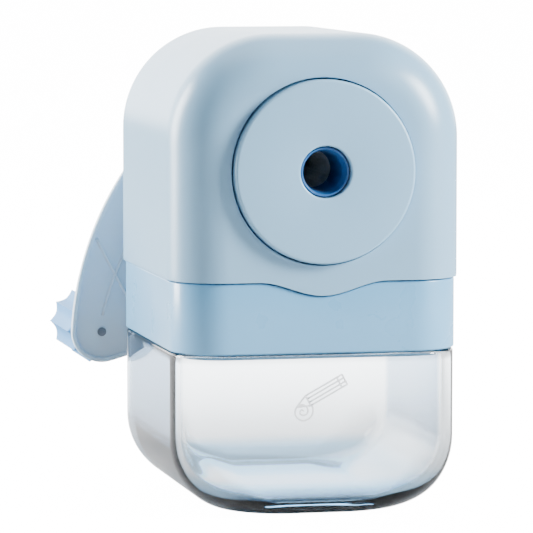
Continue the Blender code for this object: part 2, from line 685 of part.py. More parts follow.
def make_drive(flange):
    """The drive shaft with its flange, the bush, the clip and the washer."""
    inner = BACK_Y - COVER_WALL
    bush_outer = SHAFT_RADIUS + RUN + BUSH_WALL
    bush_start = inner - GAP - BUSH_FLANGE
    bush_end = BACK_Y + 0.4 * MM
    bore = SHAFT_RADIUS + RUN
    outline = [
        (bush_start, bore), (bush_end, bore), (bush_end, bush_outer), (inner - GAP, bush_outer),
        (inner - GAP, bush_outer + BUSH_FLANGE_WIDTH), (bush_start, bush_outer + BUSH_FLANGE_WIDTH),
    ]
    turned("rear_bush", outline, SHOP.white, 28, (0, 0, PENCIL_Z))
    clip = bush_start - GAP - CLIP_THICK
    groove = SHAFT_RADIUS - CLIP_GROOVE
    washer = bush_end + GAP
    square_start = washer + WASHER_THICK + GAP
    shaft_end = BACK_Y + ARM_GAP + ARM_RIM + ARM_THICK - 2 * GAP
    outline = [
        (flange, 0), (shaft_end, 0), (shaft_end, SHAFT_RADIUS), (clip + CLIP_THICK + GAP / 2, SHAFT_RADIUS),
        (clip + CLIP_THICK + GAP / 2, groove), (clip - GAP / 2, groove), (clip - GAP / 2, SHAFT_RADIUS),
        (flange + SHAFT_FLANGE, SHAFT_RADIUS), (flange + SHAFT_FLANGE, CARRIER_PLATE_RADIUS), (flange, CARRIER_PLATE_RADIUS),
    ]
    shaft = turned("drive_shaft", outline, SHOP.steel, 24, (0, 0, PENCIL_Z))
    reach = SHAFT_RADIUS + MM
    half = SHAFT_SQUARE / 2
    for name, low, high in (
        ("flat_left", (-reach, -reach), (-half, reach)),
        ("flat_right", (half, -reach), (reach, reach)),
        ("flat_low", (-reach, -reach), (reach, -half)),
        ("flat_high", (-reach, half), (reach, reach)),
    ):
        flat = box(
            name, (low[0], square_start, PENCIL_Z + low[1]), (high[0], shaft_end + MM, PENCIL_Z + high[1])
        )
        boolean(shaft, flat)
    boolean(shaft, cylinder("shaft_pilot", shaft_end - 7 * MM, shaft_end + MM, SCREW_RADIUS + GAP, at=(0, 0, PENCIL_Z)))
    for side, x in (("left", -1), ("right", 1)):
        place = (x * CARRIER_PLATE_RADIUS * 0.7, 0, PENCIL_Z - CARRIER_RADIUS * 0.3)
        hole = cylinder(f"flange_hole_{side}", flange - MM, flange + SHAFT_FLANGE + MM, SCREW_RADIUS + GAP, at=place)
        boolean(shaft, hole)
    ring = turned(
        "retaining_clip",
        [(clip, groove + RUN), (clip + CLIP_THICK, groove + RUN),
         (clip + CLIP_THICK, groove + RUN + CLIP_WIDTH + CLIP_GROOVE), (clip, groove + RUN + CLIP_WIDTH + CLIP_GROOVE)],
        SHOP.steel, 24, (0, 0, PENCIL_Z),
    )
    notch = 2.2 * MM
    boolean(ring, box("clip_notch", (-notch, clip - MM, PENCIL_Z), (notch, clip + 2 * MM, PENCIL_Z + 12 * MM)))
    turned(
        "crank_washer",
        [(washer, SHAFT_RADIUS + RUN), (washer + WASHER_THICK, SHAFT_RADIUS + RUN),
         (washer + WASHER_THICK, SHAFT_RADIUS + WASHER_WIDTH), (washer, SHAFT_RADIUS + WASHER_WIDTH)],
        SHOP.steel, 24, (0, 0, PENCIL_Z),
    )
    return shaft_end, square_start


def arm_outline(inset, steps=14):
    """The arm's outline: wide at the hub, bulging sides, and a small round end, moved in by an inset."""
    side = ARM_SIDE_RADIUS - inset
    centre_v = ARM_SIDE_RADIUS - ARM_HALF_WIDTH
    end_angle = math.degrees(math.atan2(centre_v, CRANK_RADIUS - ARM_WIDEST))
    end_radius = math.hypot(CRANK_RADIUS - ARM_WIDEST, centre_v)
    end = ARM_SIDE_RADIUS - end_radius - inset
    hub = ARM_HALF_WIDTH - inset
    half = arc((CRANK_RADIUS, 0), end, 0, end_angle, 8)
    half += arc((ARM_WIDEST, -centre_v), side, end_angle, 90, steps)[1:]
    turns = [math.radians(90 * k / 9) for k in range(1, 10)]
    half += [(ARM_WIDEST - (ARM_WIDEST + hub) * math.sin(t), hub * math.cos(t)) for t in turns]
    return half + [(u, -v) for u, v in half[-2:0:-1]]


ARM_U = Vector((CRANK_X, 0, -CRANK_DROP)) / CRANK_RADIUS
ARM_V = Vector((-CRANK_DROP, 0, -CRANK_X)) / CRANK_RADIUS


def arm_point(u, v, y):
    """A point of the arm: u from the hub to the knob, v to the outer side, y to the back."""
    return Vector((0, y, PENCIL_Z)) + ARM_U * u + ARM_V * v


def rib(name, path, face, height):
    """A thin rib on the arm's inner face along a path of (u, v) points."""
    left, right = [], []
    for k, (u, v) in enumerate(path):
        before, after = path[max(k - 1, 0)], path[min(k + 1, len(path) - 1)]
        run = Vector((after[0] - before[0], after[1] - before[1])).normalized() * RIB_WIDTH / 2
        left.append((u - run.y, v + run.x))
        right.append((u + run.y, v - run.x))
    outline = left + right[::-1]
    levels = (face - height, face + height / 2)
    return loft(name, [[arm_point(u, v, y) for u, v in outline] for y in levels])


def make_arm(square_start, shaft_end):
    """The broad crank arm: a dished plate with a rim, two ribs, a hub with a square hole and a pin hole."""
    rim = BACK_Y + ARM_GAP
    face = rim + ARM_RIM
    back = face + ARM_THICK
    outer, inside = arm_outline(0), arm_outline(ARM_RIM_WIDTH)
    soft, softer = arm_outline(ARM_EDGE_MIDDLE), arm_outline(ARM_EDGE_IN)
    rings = [
        [arm_point(u, v, face) for u, v in inside],
        [arm_point(u, v, rim) for u, v in inside],
        [arm_point(u, v, rim) for u, v in outer],
        [arm_point(u, v, back - ARM_EDGE_DROP) for u, v in outer],
        [arm_point(u, v, back - ARM_EDGE_DROP * 0.3) for u, v in soft],
        [arm_point(u, v, back) for u, v in softer],
    ]
    piece = loft("crank_arm", rings, SHOP.white)
    place = (0, 0, PENCIL_Z)
    hub_front = square_start
    hub_end = back + HUB_HEIGHT - HUB_DROP + MM
    boolean(piece, cylinder("arm_hub", hub_front, hub_end, HUB_RADIUS, steps=28, at=place), "UNION")
    half = SHAFT_SQUARE / 2 + GAP / 2
    square = box(
        "arm_square", (-half, hub_front - MM, PENCIL_Z - half), (half, shaft_end + GAP, PENCIL_Z + half)
    )
    boolean(piece, square)
    well = cylinder("arm_well", shaft_end + GAP, hub_end + HUB_HEIGHT, HUB_RADIUS - HUB_WALL, steps=28, at=place)
    boolean(piece, well)
    pin = arm_point(CRANK_RADIUS, 0, 0)
    boolean(piece, cylinder("arm_pin_hole", rim - MM, back + MM, PIN_RADIUS + RUN, steps=24, at=pin))
    boolean(piece, rib("arm_ridge", [RIDGE_START, RIDGE_END], face, RIDGE_HEIGHT), "UNION")
    span = [RIB_START + (RIB_END - RIB_START) * k / 8 for k in range(9)]
    path = [(u, RIB_PEAK - RIB_BEND * (u - RIB_MIDDLE) ** 2) for u in span]
    boolean(piece, rib("arm_rib", path, face, RIB_HEIGHT), "UNION")
    smooth(piece)
    set_origin(piece, (0, 0, PENCIL_Z))
    return back


def make_knob(back):
    """The lobed knob on its pin."""
    centre = arm_point(CRANK_RADIUS, 0, 0)
    start = back + GAP
    end = start + KNOB_LENGTH

    def lobes(tip, waist, y):
        points = []
        for k in range(KNOB_LOBES):
            for step in range(LOBE_STEPS):
                share = step / LOBE_STEPS
                scallop = math.sin(math.pi * share) ** 0.8
                radius = tip - (tip - waist) * scallop
                angle = math.tau * (k + share) / KNOB_LOBES
                points.append(Vector((radius * math.cos(angle), y, radius * math.sin(angle))) + centre)
        return points

    shrink = [(start, 0.93), (start + KNOB_EDGE * 0.6, 1.0), (end - KNOB_EDGE, 1.0)]
    shrink.append((end - KNOB_EDGE * 0.3, 0.95))
    rings = [lobes(KNOB_TIP * s, KNOB_WAIST * s, y) for y, s in shrink]
    rings.append(lobes(KNOB_WAIST * 0.86, KNOB_WAIST * 0.84, end))
    piece = loft("crank_knob", rings, SHOP.sky_blue)
    floor = end - KNOB_WELL
    bore = cylinder("knob_bore", start - MM, floor + KNOB_FLOOR, PIN_RADIUS + RUN, steps=24, at=centre)
    boolean(piece, bore)
    well = cylinder("knob_well", floor, end + MM, PIN_HEAD + GAP, steps=32, at=centre)
    boolean(piece, well)
    smooth(piece, 25)
    set_origin(piece, centre)
    flush = BACK_Y + ARM_GAP + ARM_RIM
    head = floor + GAP
    near, far = flush - 0.2 * MM, head + PIN_HEAD_THICK
    outline = [
        (near, 0), (far, 0), (far, PIN_HEAD * 0.6), (head + PIN_HEAD_THICK * 0.6, PIN_HEAD),
        (head, PIN_HEAD), (head, PIN_RADIUS), (near, PIN_RADIUS),
    ]
    turned("knob_pin", outline, SHOP.steel, 28, centre)


def make_crank_fastening(shaft_end, back):
    """The screw in the shaft's end and the cap over it."""
    seat = shaft_end + 2 * GAP
    screw("crank_screw", (0, seat, PENCIL_Z), (0, -1, 0), 5.5 * MM, head=HUB_RADIUS - 2.6 * MM)
    cap_start = back + HUB_HEIGHT - HUB_DROP + MM + GAP
    radius = HUB_RADIUS - 1.4 * MM - GAP
    outline = [
        (cap_start - 1.2 * MM, 0), (cap_start + 1.2 * MM, 0), (cap_start + 0.9 * MM, HUB_RADIUS - MM),
        (cap_start + 0.4 * MM, HUB_RADIUS), (cap_start, HUB_RADIUS), (cap_start, radius), (cap_start - 1.2 * MM, radius),
    ]
    turned("crank_cap", outline, SHOP.sky_blue, 28, (0, 0, PENCIL_Z))


def main():
    make_bin()
    deck = make_collar()
    make_cover(deck)
    make_housing_screws(deck)
    make_front()
    make_ring_gear()
    make_cutter()
    flange = make_carrier()
    shaft_end, square_start = make_drive(flange)
    back = make_arm(square_start, shaft_end)
    make_knob(back)
    make_crank_fastening(shaft_end, back)


main()
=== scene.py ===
"""The looks of a crank pencil sharpener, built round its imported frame.

The outer mouldings are surfaces worked out with numpy: an arched cover, a waved band, a thick clear
bin, a raised front plate with a funnel, a dished crank arm and a lobed knob. The gears, shafts and
screws inside keep the frame's own meshes and only get their finishes. Metres, +Z up, front at -Y.
"""

from __future__ import annotations

import logging
import math
from dataclasses import dataclass, field
from enum import Enum
from typing import Callable, Sequence

import bmesh
import bpy
import numpy as np
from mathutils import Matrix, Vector


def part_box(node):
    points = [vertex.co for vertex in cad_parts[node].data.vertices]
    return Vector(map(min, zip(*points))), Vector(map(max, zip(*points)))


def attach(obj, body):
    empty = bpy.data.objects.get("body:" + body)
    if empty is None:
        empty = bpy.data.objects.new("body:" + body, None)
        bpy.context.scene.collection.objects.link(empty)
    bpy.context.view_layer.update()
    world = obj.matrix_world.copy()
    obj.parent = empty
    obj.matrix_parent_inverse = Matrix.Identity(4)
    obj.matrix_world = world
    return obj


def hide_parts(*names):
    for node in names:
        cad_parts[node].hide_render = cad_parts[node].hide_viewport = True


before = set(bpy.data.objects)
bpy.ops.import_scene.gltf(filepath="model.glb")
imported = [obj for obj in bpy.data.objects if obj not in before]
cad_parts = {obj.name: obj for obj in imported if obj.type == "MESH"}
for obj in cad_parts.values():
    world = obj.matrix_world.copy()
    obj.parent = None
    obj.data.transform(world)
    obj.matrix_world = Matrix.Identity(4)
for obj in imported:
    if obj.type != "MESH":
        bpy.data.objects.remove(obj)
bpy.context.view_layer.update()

Array = np.ndarray
Colour = tuple[float, float, float]
Span = tuple[float, float]
MM = 0.001
QUARTER = math.pi / 2
LOG = logging.getLogger("sharpener")
logging.basicConfig(level=logging.INFO, format="%(name)s: %(message)s")


class Body(Enum):
    """The moving bodies of the frame."""

    BIN = "bin"
    HEAD = "head"
    CRANK = "crank"
    CUTTER = "cutter"
    KNOB = "knob"


# Surfaces
# --------------------------------------


def unit(rows: Array) -> Array:
    """Rows scaled to unit length."""
    return rows / np.linalg.norm(rows, axis=1, keepdims=True)


def normals(path: Array) -> Array:
    """The unit normals of a flat path: its direction at each point, turned by a quarter."""
    run = unit(np.gradient(path, axis=0))
    return np.stack([-run[:, 1], run[:, 0]], -1)


def fillet(corners: Sequence[Span] | Array, radii: Array | float, steps: int = 6,
           closed: bool = True) -> Array:
    """Rounds the corners of a polyline, all at once.

    Each arc's points are the slerp between the two directions from the arc's centre to its tangent
    points; the centre lies on the corner's bisector, at radius / sin(half the corner's angle).

    Args:
        corners: the polyline's points, in a plane.
        radii: one radius, or one for each corner.
        steps: pieces in each arc.
        closed: whether the last point joins the first. If not, the ends stay sharp.

    Returns:
        The rounded polyline, as rows of two.
    """
    at = np.asarray(corners, float)
    radius = np.broadcast_to(np.asarray(radii, float), len(at))[:, None]
    back, ahead = unit(np.roll(at, 1, 0) - at), unit(np.roll(at, -1, 0) - at)
    half = np.arccos(np.clip((back * ahead).sum(1), -1, 1))[:, None] / 2
    centre = at + unit(back + ahead) * radius / np.sin(half)
    start = at + back * radius / np.tan(half) - centre
    end = at + ahead * radius / np.tan(half) - centre
    sweep = (math.pi - 2 * half)[:, :, None]
    share = np.linspace(0, 1, steps + 1)[None, :, None]
    arcs = np.sin((1 - share) * sweep) * start[:, None] + np.sin(share * sweep) * end[:, None]
    points = centre[:, None] + arcs / np.sin(sweep)
    if closed:
        return points.reshape(-1, 2)
    return np.concatenate([at[:1], points[1:-1].reshape(-1, 2), at[-1:]])


def quads(rows: int, columns: int, start: int = 0) -> Array:
    """The faces of a grid of points, as rows of four indices.

    Args:
        rows: the grid's rows.
        columns: the grid's columns.
        start: the index of its first point.

    Returns:
        An array of faces by four.
    """
    index = start + np.arange(rows * columns).reshape(rows, columns)
    corners = (index[:-1, :-1], index[:-1, 1:], index[1:, 1:], index[1:, :-1])
    return np.stack(corners, -1).reshape(-1, 4)


def skin(name: str, grids: Sequence[Array], flip: bool = False, closed: bool = True,
         weld: float = 2e-6) -> bpy.types.Object:
    """Makes one object from grids of points, and joins the grids where they meet.

    Args:
        name: the object's name.
        grids: arrays of rows by columns by three.
        flip: turns the faces of an open surface round.
        closed: whether the joined grids close a volume, whose faces are then turned outwards.
        weld: the distance under which two points become one.

    Returns:
        The object, smooth-shaded, with its place in its mesh.
    """
    starts = np.cumsum([0] + [grid.shape[0] * grid.shape[1] for grid in grids[:-1]])
    points = np.concatenate([grid.reshape(-1, 3) for grid in grids])
    faces = np.concatenate([quads(*grid.shape[:2], start) for grid, start in zip(grids, starts)])
    mesh = bpy.data.meshes.new(name)
    mesh.from_pydata(points, [], (faces[:, ::-1] if flip else faces).tolist())
    work = bmesh.new()
    work.from_mesh(mesh)
    bmesh.ops.remove_doubles(work, verts=work.verts, dist=weld)
    bmesh.ops.dissolve_degenerate(work, edges=work.edges, dist=weld / 20)
    if closed:
        bmesh.ops.recalc_face_normals(work, faces=work.faces)
    work.to_mesh(mesh)
    work.free()
    mesh.shade_smooth()
    piece = bpy.data.objects.new(name, mesh)
    bpy.context.scene.collection.objects.link(piece)
    return piece


def wrap(grid: Array, axis: int) -> Array:
    """Repeats a grid's first row or column at its end, so that its faces go all the way round."""
    return np.concatenate([grid, np.take(grid, [0], axis=axis)], axis=axis)


def close_start(tube: Array) -> Array:
    """Closes a tube's first end, with a row drawn together at that end's middle."""
    middle = tube[:1].mean(1, keepdims=True)
    return np.concatenate([np.repeat(middle, tube.shape[1], 1), tube])


def turn(profile: Array, centre: Sequence[float], steps: int = 96) -> Array:
    """A profile of (distance along Y, radius) points turned about a line along Y.

    A point is (x + radius cos t, y, z + radius sin t), for t from 0 to a full turn.

    Args:
        profile: rows of two.
        centre: a point of the line, from which the distance counts.
        steps: pieces in the full turn.

    Returns:
        A grid of points.
    """
    angle = np.linspace(0, math.tau, steps + 1)[None, :]
    along, radius = profile[:, :1], profile[:, 1:]
    x = centre[0] + radius * np.cos(angle)
    z = centre[2] + radius * np.sin(angle)
    return np.stack([x, np.broadcast_to(centre[1] + along, x.shape), z], -1)


def turned(name: str, corners: Sequence[Span], radii: Array | float, centre: Sequence[float],
           steps: int = 96) -> bpy.types.Object:
    """A closed body turned about a line along Y.

    Args:
        name: the object's name.
        corners: a loop of (distance along Y, radius) corners.
        radii: the round of each edge.
        centre: a point of the line.
        steps: pieces in the full turn.

    Returns:
        The object.
    """
    return skin(name, [wrap(turn(fillet(corners, radii), centre, steps), 0)])


def soften(piece: bpy.types.Object, width: float, segments: int = 3, angle: float = 40.0) -> None:
    """Gives a piece's sharp edges a bevel.

    Args:
        piece: the piece.
        width: the bevel's width.
        segments: its steps.
        angle: the angle between faces, in degrees, from which an edge counts as sharp.
    """
    bevel = piece.modifiers.new("soft_edges", "BEVEL")
    bevel.width = width
    bevel.segments = segments
    bevel.limit_method = "ANGLE"
    bevel.angle_limit = math.radians(angle)
    bevel.harden_normals = False


def settle(piece: bpy.types.Object) -> None:
    """Applies a piece's modifiers to its mesh, and shades it smooth."""
    bpy.context.view_layer.update()
    graph = bpy.context.evaluated_depsgraph_get()
    mesh = bpy.data.meshes.new_from_object(piece.evaluated_get(graph))
    piece.modifiers.clear()
    old = piece.data
    piece.data = mesh
    bpy.data.meshes.remove(old)
    mesh.shade_smooth()


# Finishes
# --------------------------------------


class Sockets:
    """Adds nodes to a tree and joins them. A term is a socket, a number or a colour."""

    def __init__(self, tree: bpy.types.NodeTree) -> None:
        """Keeps the tree that the nodes go in."""
        self.tree = tree

    def add(self, kind: str, **values: object) -> bpy.types.Node:
        """Adds a node and sets its properties."""
        node = self.tree.nodes.new(kind)
        for name, value in values.items():
            setattr(node, name, value)
        return node

    def join(self, term: object, target: bpy.types.NodeSocket) -> None:
        """Links a socket to a target socket, or sets the target to a number or a colour."""
        if isinstance(term, bpy.types.NodeSocket):
            self.tree.links.new(term, target)
        else:
            target.default_value = term

    def fill(self, node: bpy.types.Node, terms: dict[str, object]) -> bpy.types.Node:
        """Joins or sets a node's inputs by their names, and returns the node."""
        for name, term in terms.items():
            self.join(term, node.inputs[name])
        return node

    def place(self) -> bpy.types.NodeSocket:
        """The position on the piece."""
        return self.add("ShaderNodeTexCoord").outputs["Object"]

    def axes(self, vector: bpy.types.NodeSocket) -> bpy.types.bpy_prop_collection:
        """A vector's X, Y and Z sockets."""
        return self.fill(self.add("ShaderNodeSeparateXYZ"), {"Vector": vector}).outputs

    def noise(self, position: object, scale: object, detail: float = 3.0) -> bpy.types.NodeSocket:
        """A noise pattern on a position, whose value runs from 0 to 1.

        Args:
            position: the position's socket.
            scale: how fine it is, per metre.
            detail: its finer layers.

        Returns:
            The pattern's socket.
        """
        terms = {"Vector": position, "Scale": scale, "Detail": detail}
        return self.fill(self.add("ShaderNodeTexNoise"), terms).outputs["Fac"]

    def ramp(self, value: object, to: Span = (0.0, 1.0), reach: Span = (0.0, 1.0),
             smooth: bool = True) -> bpy.types.NodeSocket:
        """Maps a value from one range onto another, and holds it at the ends.

        Args:
            value: the value.
            to: what the ends of its range become.
            reach: its own range.
            smooth: whether the ends ease in and out.

        Returns:
            The mapped value.
        """
        kind = "SMOOTHSTEP" if smooth else "LINEAR"
        terms = {"From Min": reach[0], "From Max": reach[1], "To Min": to[0], "To Max": to[1]}
        node = self.add("ShaderNodeMapRange", interpolation_type=kind)
        return self.fill(node, {"Value": value, **terms}).outputs["Result"]

    def math(self, operation: str, *terms: object) -> bpy.types.NodeSocket:
        """The result of a sum, a product or another function of one to three terms."""
        node = self.add("ShaderNodeMath", operation=operation)
        for term, target in zip(terms, node.inputs):
            self.join(term, target)
        return node.outputs["Value"]

    def mix(self, share: object, first: object, second: object,
            blend: str = "MIX") -> bpy.types.NodeSocket:
        """A mix of two colours.

        Args:
            share: the second colour's share.
            first: a colour.
            second: a colour.
            blend: how they mix.

        Returns:
            The mixed colour.
        """
        node = self.add("ShaderNodeMix", data_type="RGBA", blend_type=blend)
        return self.fill(node, {"Factor": share, "A": first, "B": second}).outputs["Result"]

    def bump(self, height: object, strength: float, distance: float) -> bpy.types.NodeSocket:
        """The normal that a height pattern gives.

        Args:
            height: the pattern.
            strength: how strongly it shows.
            distance: its height in metres.

        Returns:
            The normal's socket.
        """
        terms = {"Height": height, "Strength": strength, "Distance": distance}
        return self.fill(self.add("ShaderNodeBump"), terms).outputs["Normal"]


def new_group(name: str, inputs: dict[str, str],
              outputs: dict[str, str]) -> tuple[Sockets, bpy.types.Node, bpy.types.Node]:
    """A new node group with named sockets.

    Args:
        name: the group's name.
        inputs: each input's name and kind.
        outputs: each output's name and kind.

    Returns:
        Its node maker, its input node and its output node.
    """
    tree = bpy.data.node_groups.new(name, "ShaderNodeTree")
    for way, sockets in (("INPUT", inputs), ("OUTPUT", outputs)):
        for label, kind in sockets.items():
            tree.interface.new_socket(name=label, in_out=way, socket_type=f"NodeSocket{kind}")
    make = Sockets(tree)
    return make, make.add("NodeGroupInput"), make.add("NodeGroupOutput")


def moulding_group(flow_scale: float = 28.0, flow_change: Span = (0.965, 1.035),
                   mark_scale: float = 90.0, mark_change: Span = (0.9, 1.12)) -> bpy.types.NodeTree:
    """The shared group of a moulded skin: fine spark grain, slow colour flow, handling marks.

    Args:
        flow_scale: how fine the flow is, per metre.
        flow_change: the least and most that the flow leaves of the colour.
        mark_scale: how fine the marks are, per metre.
        mark_change: the least and most that the marks make of the roughness.

    Returns:
        A group that puts out Colour, Roughness and Height.
    """
    make, given, out = new_group(
        "moulded_skin",
        {"Colour": "Color", "Flow": "Float", "Grain Scale": "Float", "Rough": "Float"},
        {"Colour": "Color", "Roughness": "Float", "Height": "Float"})
    place = make.place()
    flow = make.ramp(make.noise(place, flow_scale, 2.0), flow_change, smooth=False)
    grey = make.fill(make.add("ShaderNodeCombineColor"), {"Red": flow, "Green": flow, "Blue": flow})
    tint = make.mix(
        given.outputs["Flow"], given.outputs["Colour"], grey.outputs["Color"], "MULTIPLY")
    marks = make.ramp(make.noise(place, mark_scale, 4.0), mark_change, smooth=False)
    rough = make.math("MULTIPLY", marks, given.outputs["Rough"])
    grain = make.noise(place, given.outputs["Grain Scale"], 2.0)
    make.fill(out, {"Colour": tint, "Roughness": rough, "Height": grain})
    return out.id_data


def turned_group(stretch: Colour = (200.0, 9000.0, 200.0),
                 change: Span = (0.75, 1.3)) -> bpy.types.NodeTree:
    """The shared group of turned metal: fine rings round the Y axis in its roughness and height.

    Args:
        stretch: how fine the rings are along each axis, per metre.
        change: the least and most that they make of the roughness.

    Returns:
        A group that puts out Roughness and Height.
    """
    make, given, out = new_group(
        "turned_metal", {"Rough": "Float"}, {"Roughness": "Float", "Height": "Float"})
    mapping = make.fill(make.add("ShaderNodeMapping"), {"Vector": make.place(), "Scale": stretch})
    lines = make.noise(mapping.outputs["Vector"], 1.0, 2.0)
    rough = make.math("MULTIPLY", make.ramp(lines, change, smooth=False), given.outputs["Rough"])
    make.fill(out, {"Roughness": rough, "Height": lines})
    return out.id_data


GROUPS: dict[str, bpy.types.NodeTree] = {}


def shared(name: str, build: Callable[[], bpy.types.NodeTree]) -> bpy.types.NodeTree:
    """A shared node group, built the first time that it is asked for."""
    if name not in GROUPS:
        GROUPS[name] = build()
    return GROUPS[name]


def new_material(name: str) -> tuple[bpy.types.Material, Sockets, bpy.types.Node]:
    """A new material with its node maker and its Principled shader."""
    made = bpy.data.materials.new(name)
    made.use_nodes = True
    return made, Sockets(made.node_tree), made.node_tree.nodes["Principled BSDF"]


@dataclass(frozen=True)
class Plastic:
    """An opaque moulded plastic.

    The coat is a clear gloss on top; inner is how much light passes just under the skin, for each
    colour as far as its reach times the depth. Scales are per metre, and colours are linear.
    """

    name: str
    colour: Colour
    rough: float = 0.38
    coat: float = 0.0
    inner: float = 0.12
    coat_rough: float = 0.12
    grain: float = 0.012 * MM
    grain_scale: float = 2600.0
    grain_strength: float = 0.35
    flow: float = 0.6
    inner_reach: Colour = (0.6, 0.9, 1.0)
    inner_depth: float = 1.5 * MM
    ior: float = 1.49

    def material(self) -> bpy.types.Material:
        """Builds the finish."""
        made, make, shader = new_material(self.name)
        group = make.add("ShaderNodeGroup", node_tree=shared("moulding", moulding_group))
        make.fill(group, {
            "Colour": (*self.colour, 1.0), "Flow": self.flow, "Grain Scale": self.grain_scale,
            "Rough": self.rough})
        make.fill(shader, {
            "Base Color": group.outputs["Colour"], "Roughness": group.outputs["Roughness"],
            "Normal": make.bump(group.outputs["Height"], self.grain_strength, self.grain),
            "Subsurface Weight": self.inner, "Subsurface Radius": self.inner_reach,
            "Subsurface Scale": self.inner_depth, "Coat Weight": self.coat,
            "Coat Roughness": self.coat_rough, "IOR": self.ior})
        made.diffuse_color = (*self.colour, 1.0)
        return made


@dataclass(frozen=True)
class ClearPlastic:
    """A clear moulded plastic with a faint tint.

    The colour tints each surface, and the depth colour builds up in its thickness by the density
    per metre. The painted foot shade, a bluish darkening painted at the bottom for the shade and
    the deeper colour of light through the thick floor, fades out between its heights. The painted
    side reflection, dark grey-blue strips painted on the left and right walls for the reflections
    seen in them, comes in between its reaches from the middle and its lengths to the front and
    back.
    """

    name: str
    colour: Colour
    depth_colour: Colour = (0.15, 0.6, 0.88)
    density: float = 14.0
    # painted shade: a bluish darkening at the bin's foot, for the shade and depth colour of its
    # thick floor
    painted_foot_shade: Colour = (0.44, 0.68, 0.88)
    foot_shade_heights: Span = (6 * MM, 10 * MM)
    # painted reflection: dark grey-blue strips on the left and right walls of the bin
    painted_side_reflection: Colour = (0.3, 0.39, 0.5)
    reflection_reach: Span = (29.5 * MM, 30.5 * MM)
    reflection_length: Span = (28 * MM, 25 * MM)
    rough: float = 0.015
    rough_change: Span = (0.5, 1.8)
    mark_scale: float = 60.0
    ripple_scale: float = 45.0
    ripple: float = 0.06 * MM
    ripple_strength: float = 0.12
    ior: float = 1.49

    def material(self) -> bpy.types.Material:
        """Builds the finish."""
        made, make, shader = new_material(self.name)
        place = make.place()
        axes = make.axes(place)
        least, most = (self.rough * change for change in self.rough_change)
        marks = make.ramp(make.noise(place, self.mark_scale), (least, most), smooth=False)
        ripple = make.noise(place, self.ripple_scale, 1.0)
        # painted shade at the foot: the foot colour below the lower height, fading to the clear
        # colour above
        above = make.ramp(axes["Z"], reach=self.foot_shade_heights)
        foot = make.mix(above, (*self.painted_foot_shade, 1.0), (*self.colour, 1.0))
        # painted reflection: dark strips on the left and right walls, fading out near the corners
        beside = make.ramp(make.math("ABSOLUTE", axes["X"]), reach=self.reflection_reach)
        along = make.ramp(make.math("ABSOLUTE", axes["Y"]), reach=self.reflection_length)
        side = make.math("MULTIPLY", beside, along)
        make.fill(shader, {
            "Base Color": make.mix(side, foot, (*self.painted_side_reflection, 1.0), "MULTIPLY"),
            "Roughness": marks, "Normal": make.bump(ripple, self.ripple_strength, self.ripple),
            "IOR": self.ior, "Transmission Weight": 1.0})
        depth = make.fill(make.add("ShaderNodeVolumeAbsorption"), {
            "Color": (*self.depth_colour, 1.0), "Density": self.density})
        make.fill(made.node_tree.nodes["Material Output"], {"Volume": depth.outputs["Volume"]})
        made.diffuse_color = (*self.colour, 0.3)
        return made


@dataclass(frozen=True)
class Metal:
    """A turned or pressed metal, with fine turning rings of the height ring."""

    name: str
    colour: Colour
    rough: float = 0.28
    ring: float = 0.01 * MM
    ring_strength: float = 0.25

    def material(self) -> bpy.types.Material:
        """Builds the finish."""
        made, make, shader = new_material(self.name)
        group = make.add("ShaderNodeGroup", node_tree=shared("turned", turned_group))
        make.fill(group, {"Rough": self.rough})
        make.fill(shader, {
            "Base Color": (*self.colour, 1.0), "Metallic": 1.0,
            "Roughness": group.outputs["Roughness"],
            "Normal": make.bump(group.outputs["Height"], self.ring_strength, self.ring)})
        made.diffuse_color = (*self.colour, 1.0)
        return made


Finish = Plastic | ClearPlastic | Metal

COVER_BLUE = Plastic("cover_blue", (0.235, 0.43, 0.6), 0.3)
PLATE_BLUE = Plastic("plate_blue", (0.245, 0.455, 0.635), 0.36)
BAND_BLUE = Plastic("band_blue", (0.15, 0.41, 0.66), 0.28, coat=0.3, inner=0.0)
FUNNEL_NAVY = Plastic("funnel_navy", (0.02, 0.11, 0.3), 0.3)
ARM_PALE = Plastic("arm_pale", (0.56, 0.67, 0.77), 0.4, inner=0.3)
KNOB_BLUE = Plastic("knob_blue", (0.05, 0.26, 0.56), 0.6)
INNER_WHITE = Plastic("inner_white", (0.7, 0.74, 0.78), 0.42)
PRINT_WHITE = Plastic("print_white", (0.93, 0.95, 0.97), 0.5)
BIN_CLEAR = ClearPlastic("bin_clear", (0.97, 0.985, 0.995))
STEEL = Metal("bright_steel", (0.56, 0.57, 0.59))
CUTTER_STEEL = Metal("cutter_steel", (0.24, 0.25, 0.27), 0.34)
PIN_STEEL = Metal("pin_steel", (0.16, 0.18, 0.21), 0.45)
PINION_BRASS = Metal("pinion_brass", (0.72, 0.53, 0.24), 0.3)
MADE: dict[str, bpy.types.Material] = {}


def dress(piece: bpy.types.Object, finish: Finish) -> None:
    """Gives a piece its finish, which pieces share."""
    if finish.name not in MADE:
        MADE[finish.name] = finish.material()
    piece.data.materials.clear()
    piece.data.materials.append(MADE[finish.name])


def fit(piece: bpy.types.Object, body: Body, finish: Finish,
        nodes: Sequence[str] = ()) -> None:
    """Dresses a piece, and ties it to its body and the nodes it stands for.

    Args:
        piece: the new piece.
        body: the body that it moves with.
        finish: its finish.
        nodes: the frame's nodes that it replaces.
    """
    dress(piece, finish)
    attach(piece, body.value)
    if nodes:
        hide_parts(*nodes)
    LOG.info("%s: %d faces on %s", piece.name, len(piece.data.polygons), body.value)


# The body's plan
# --------------------------------------


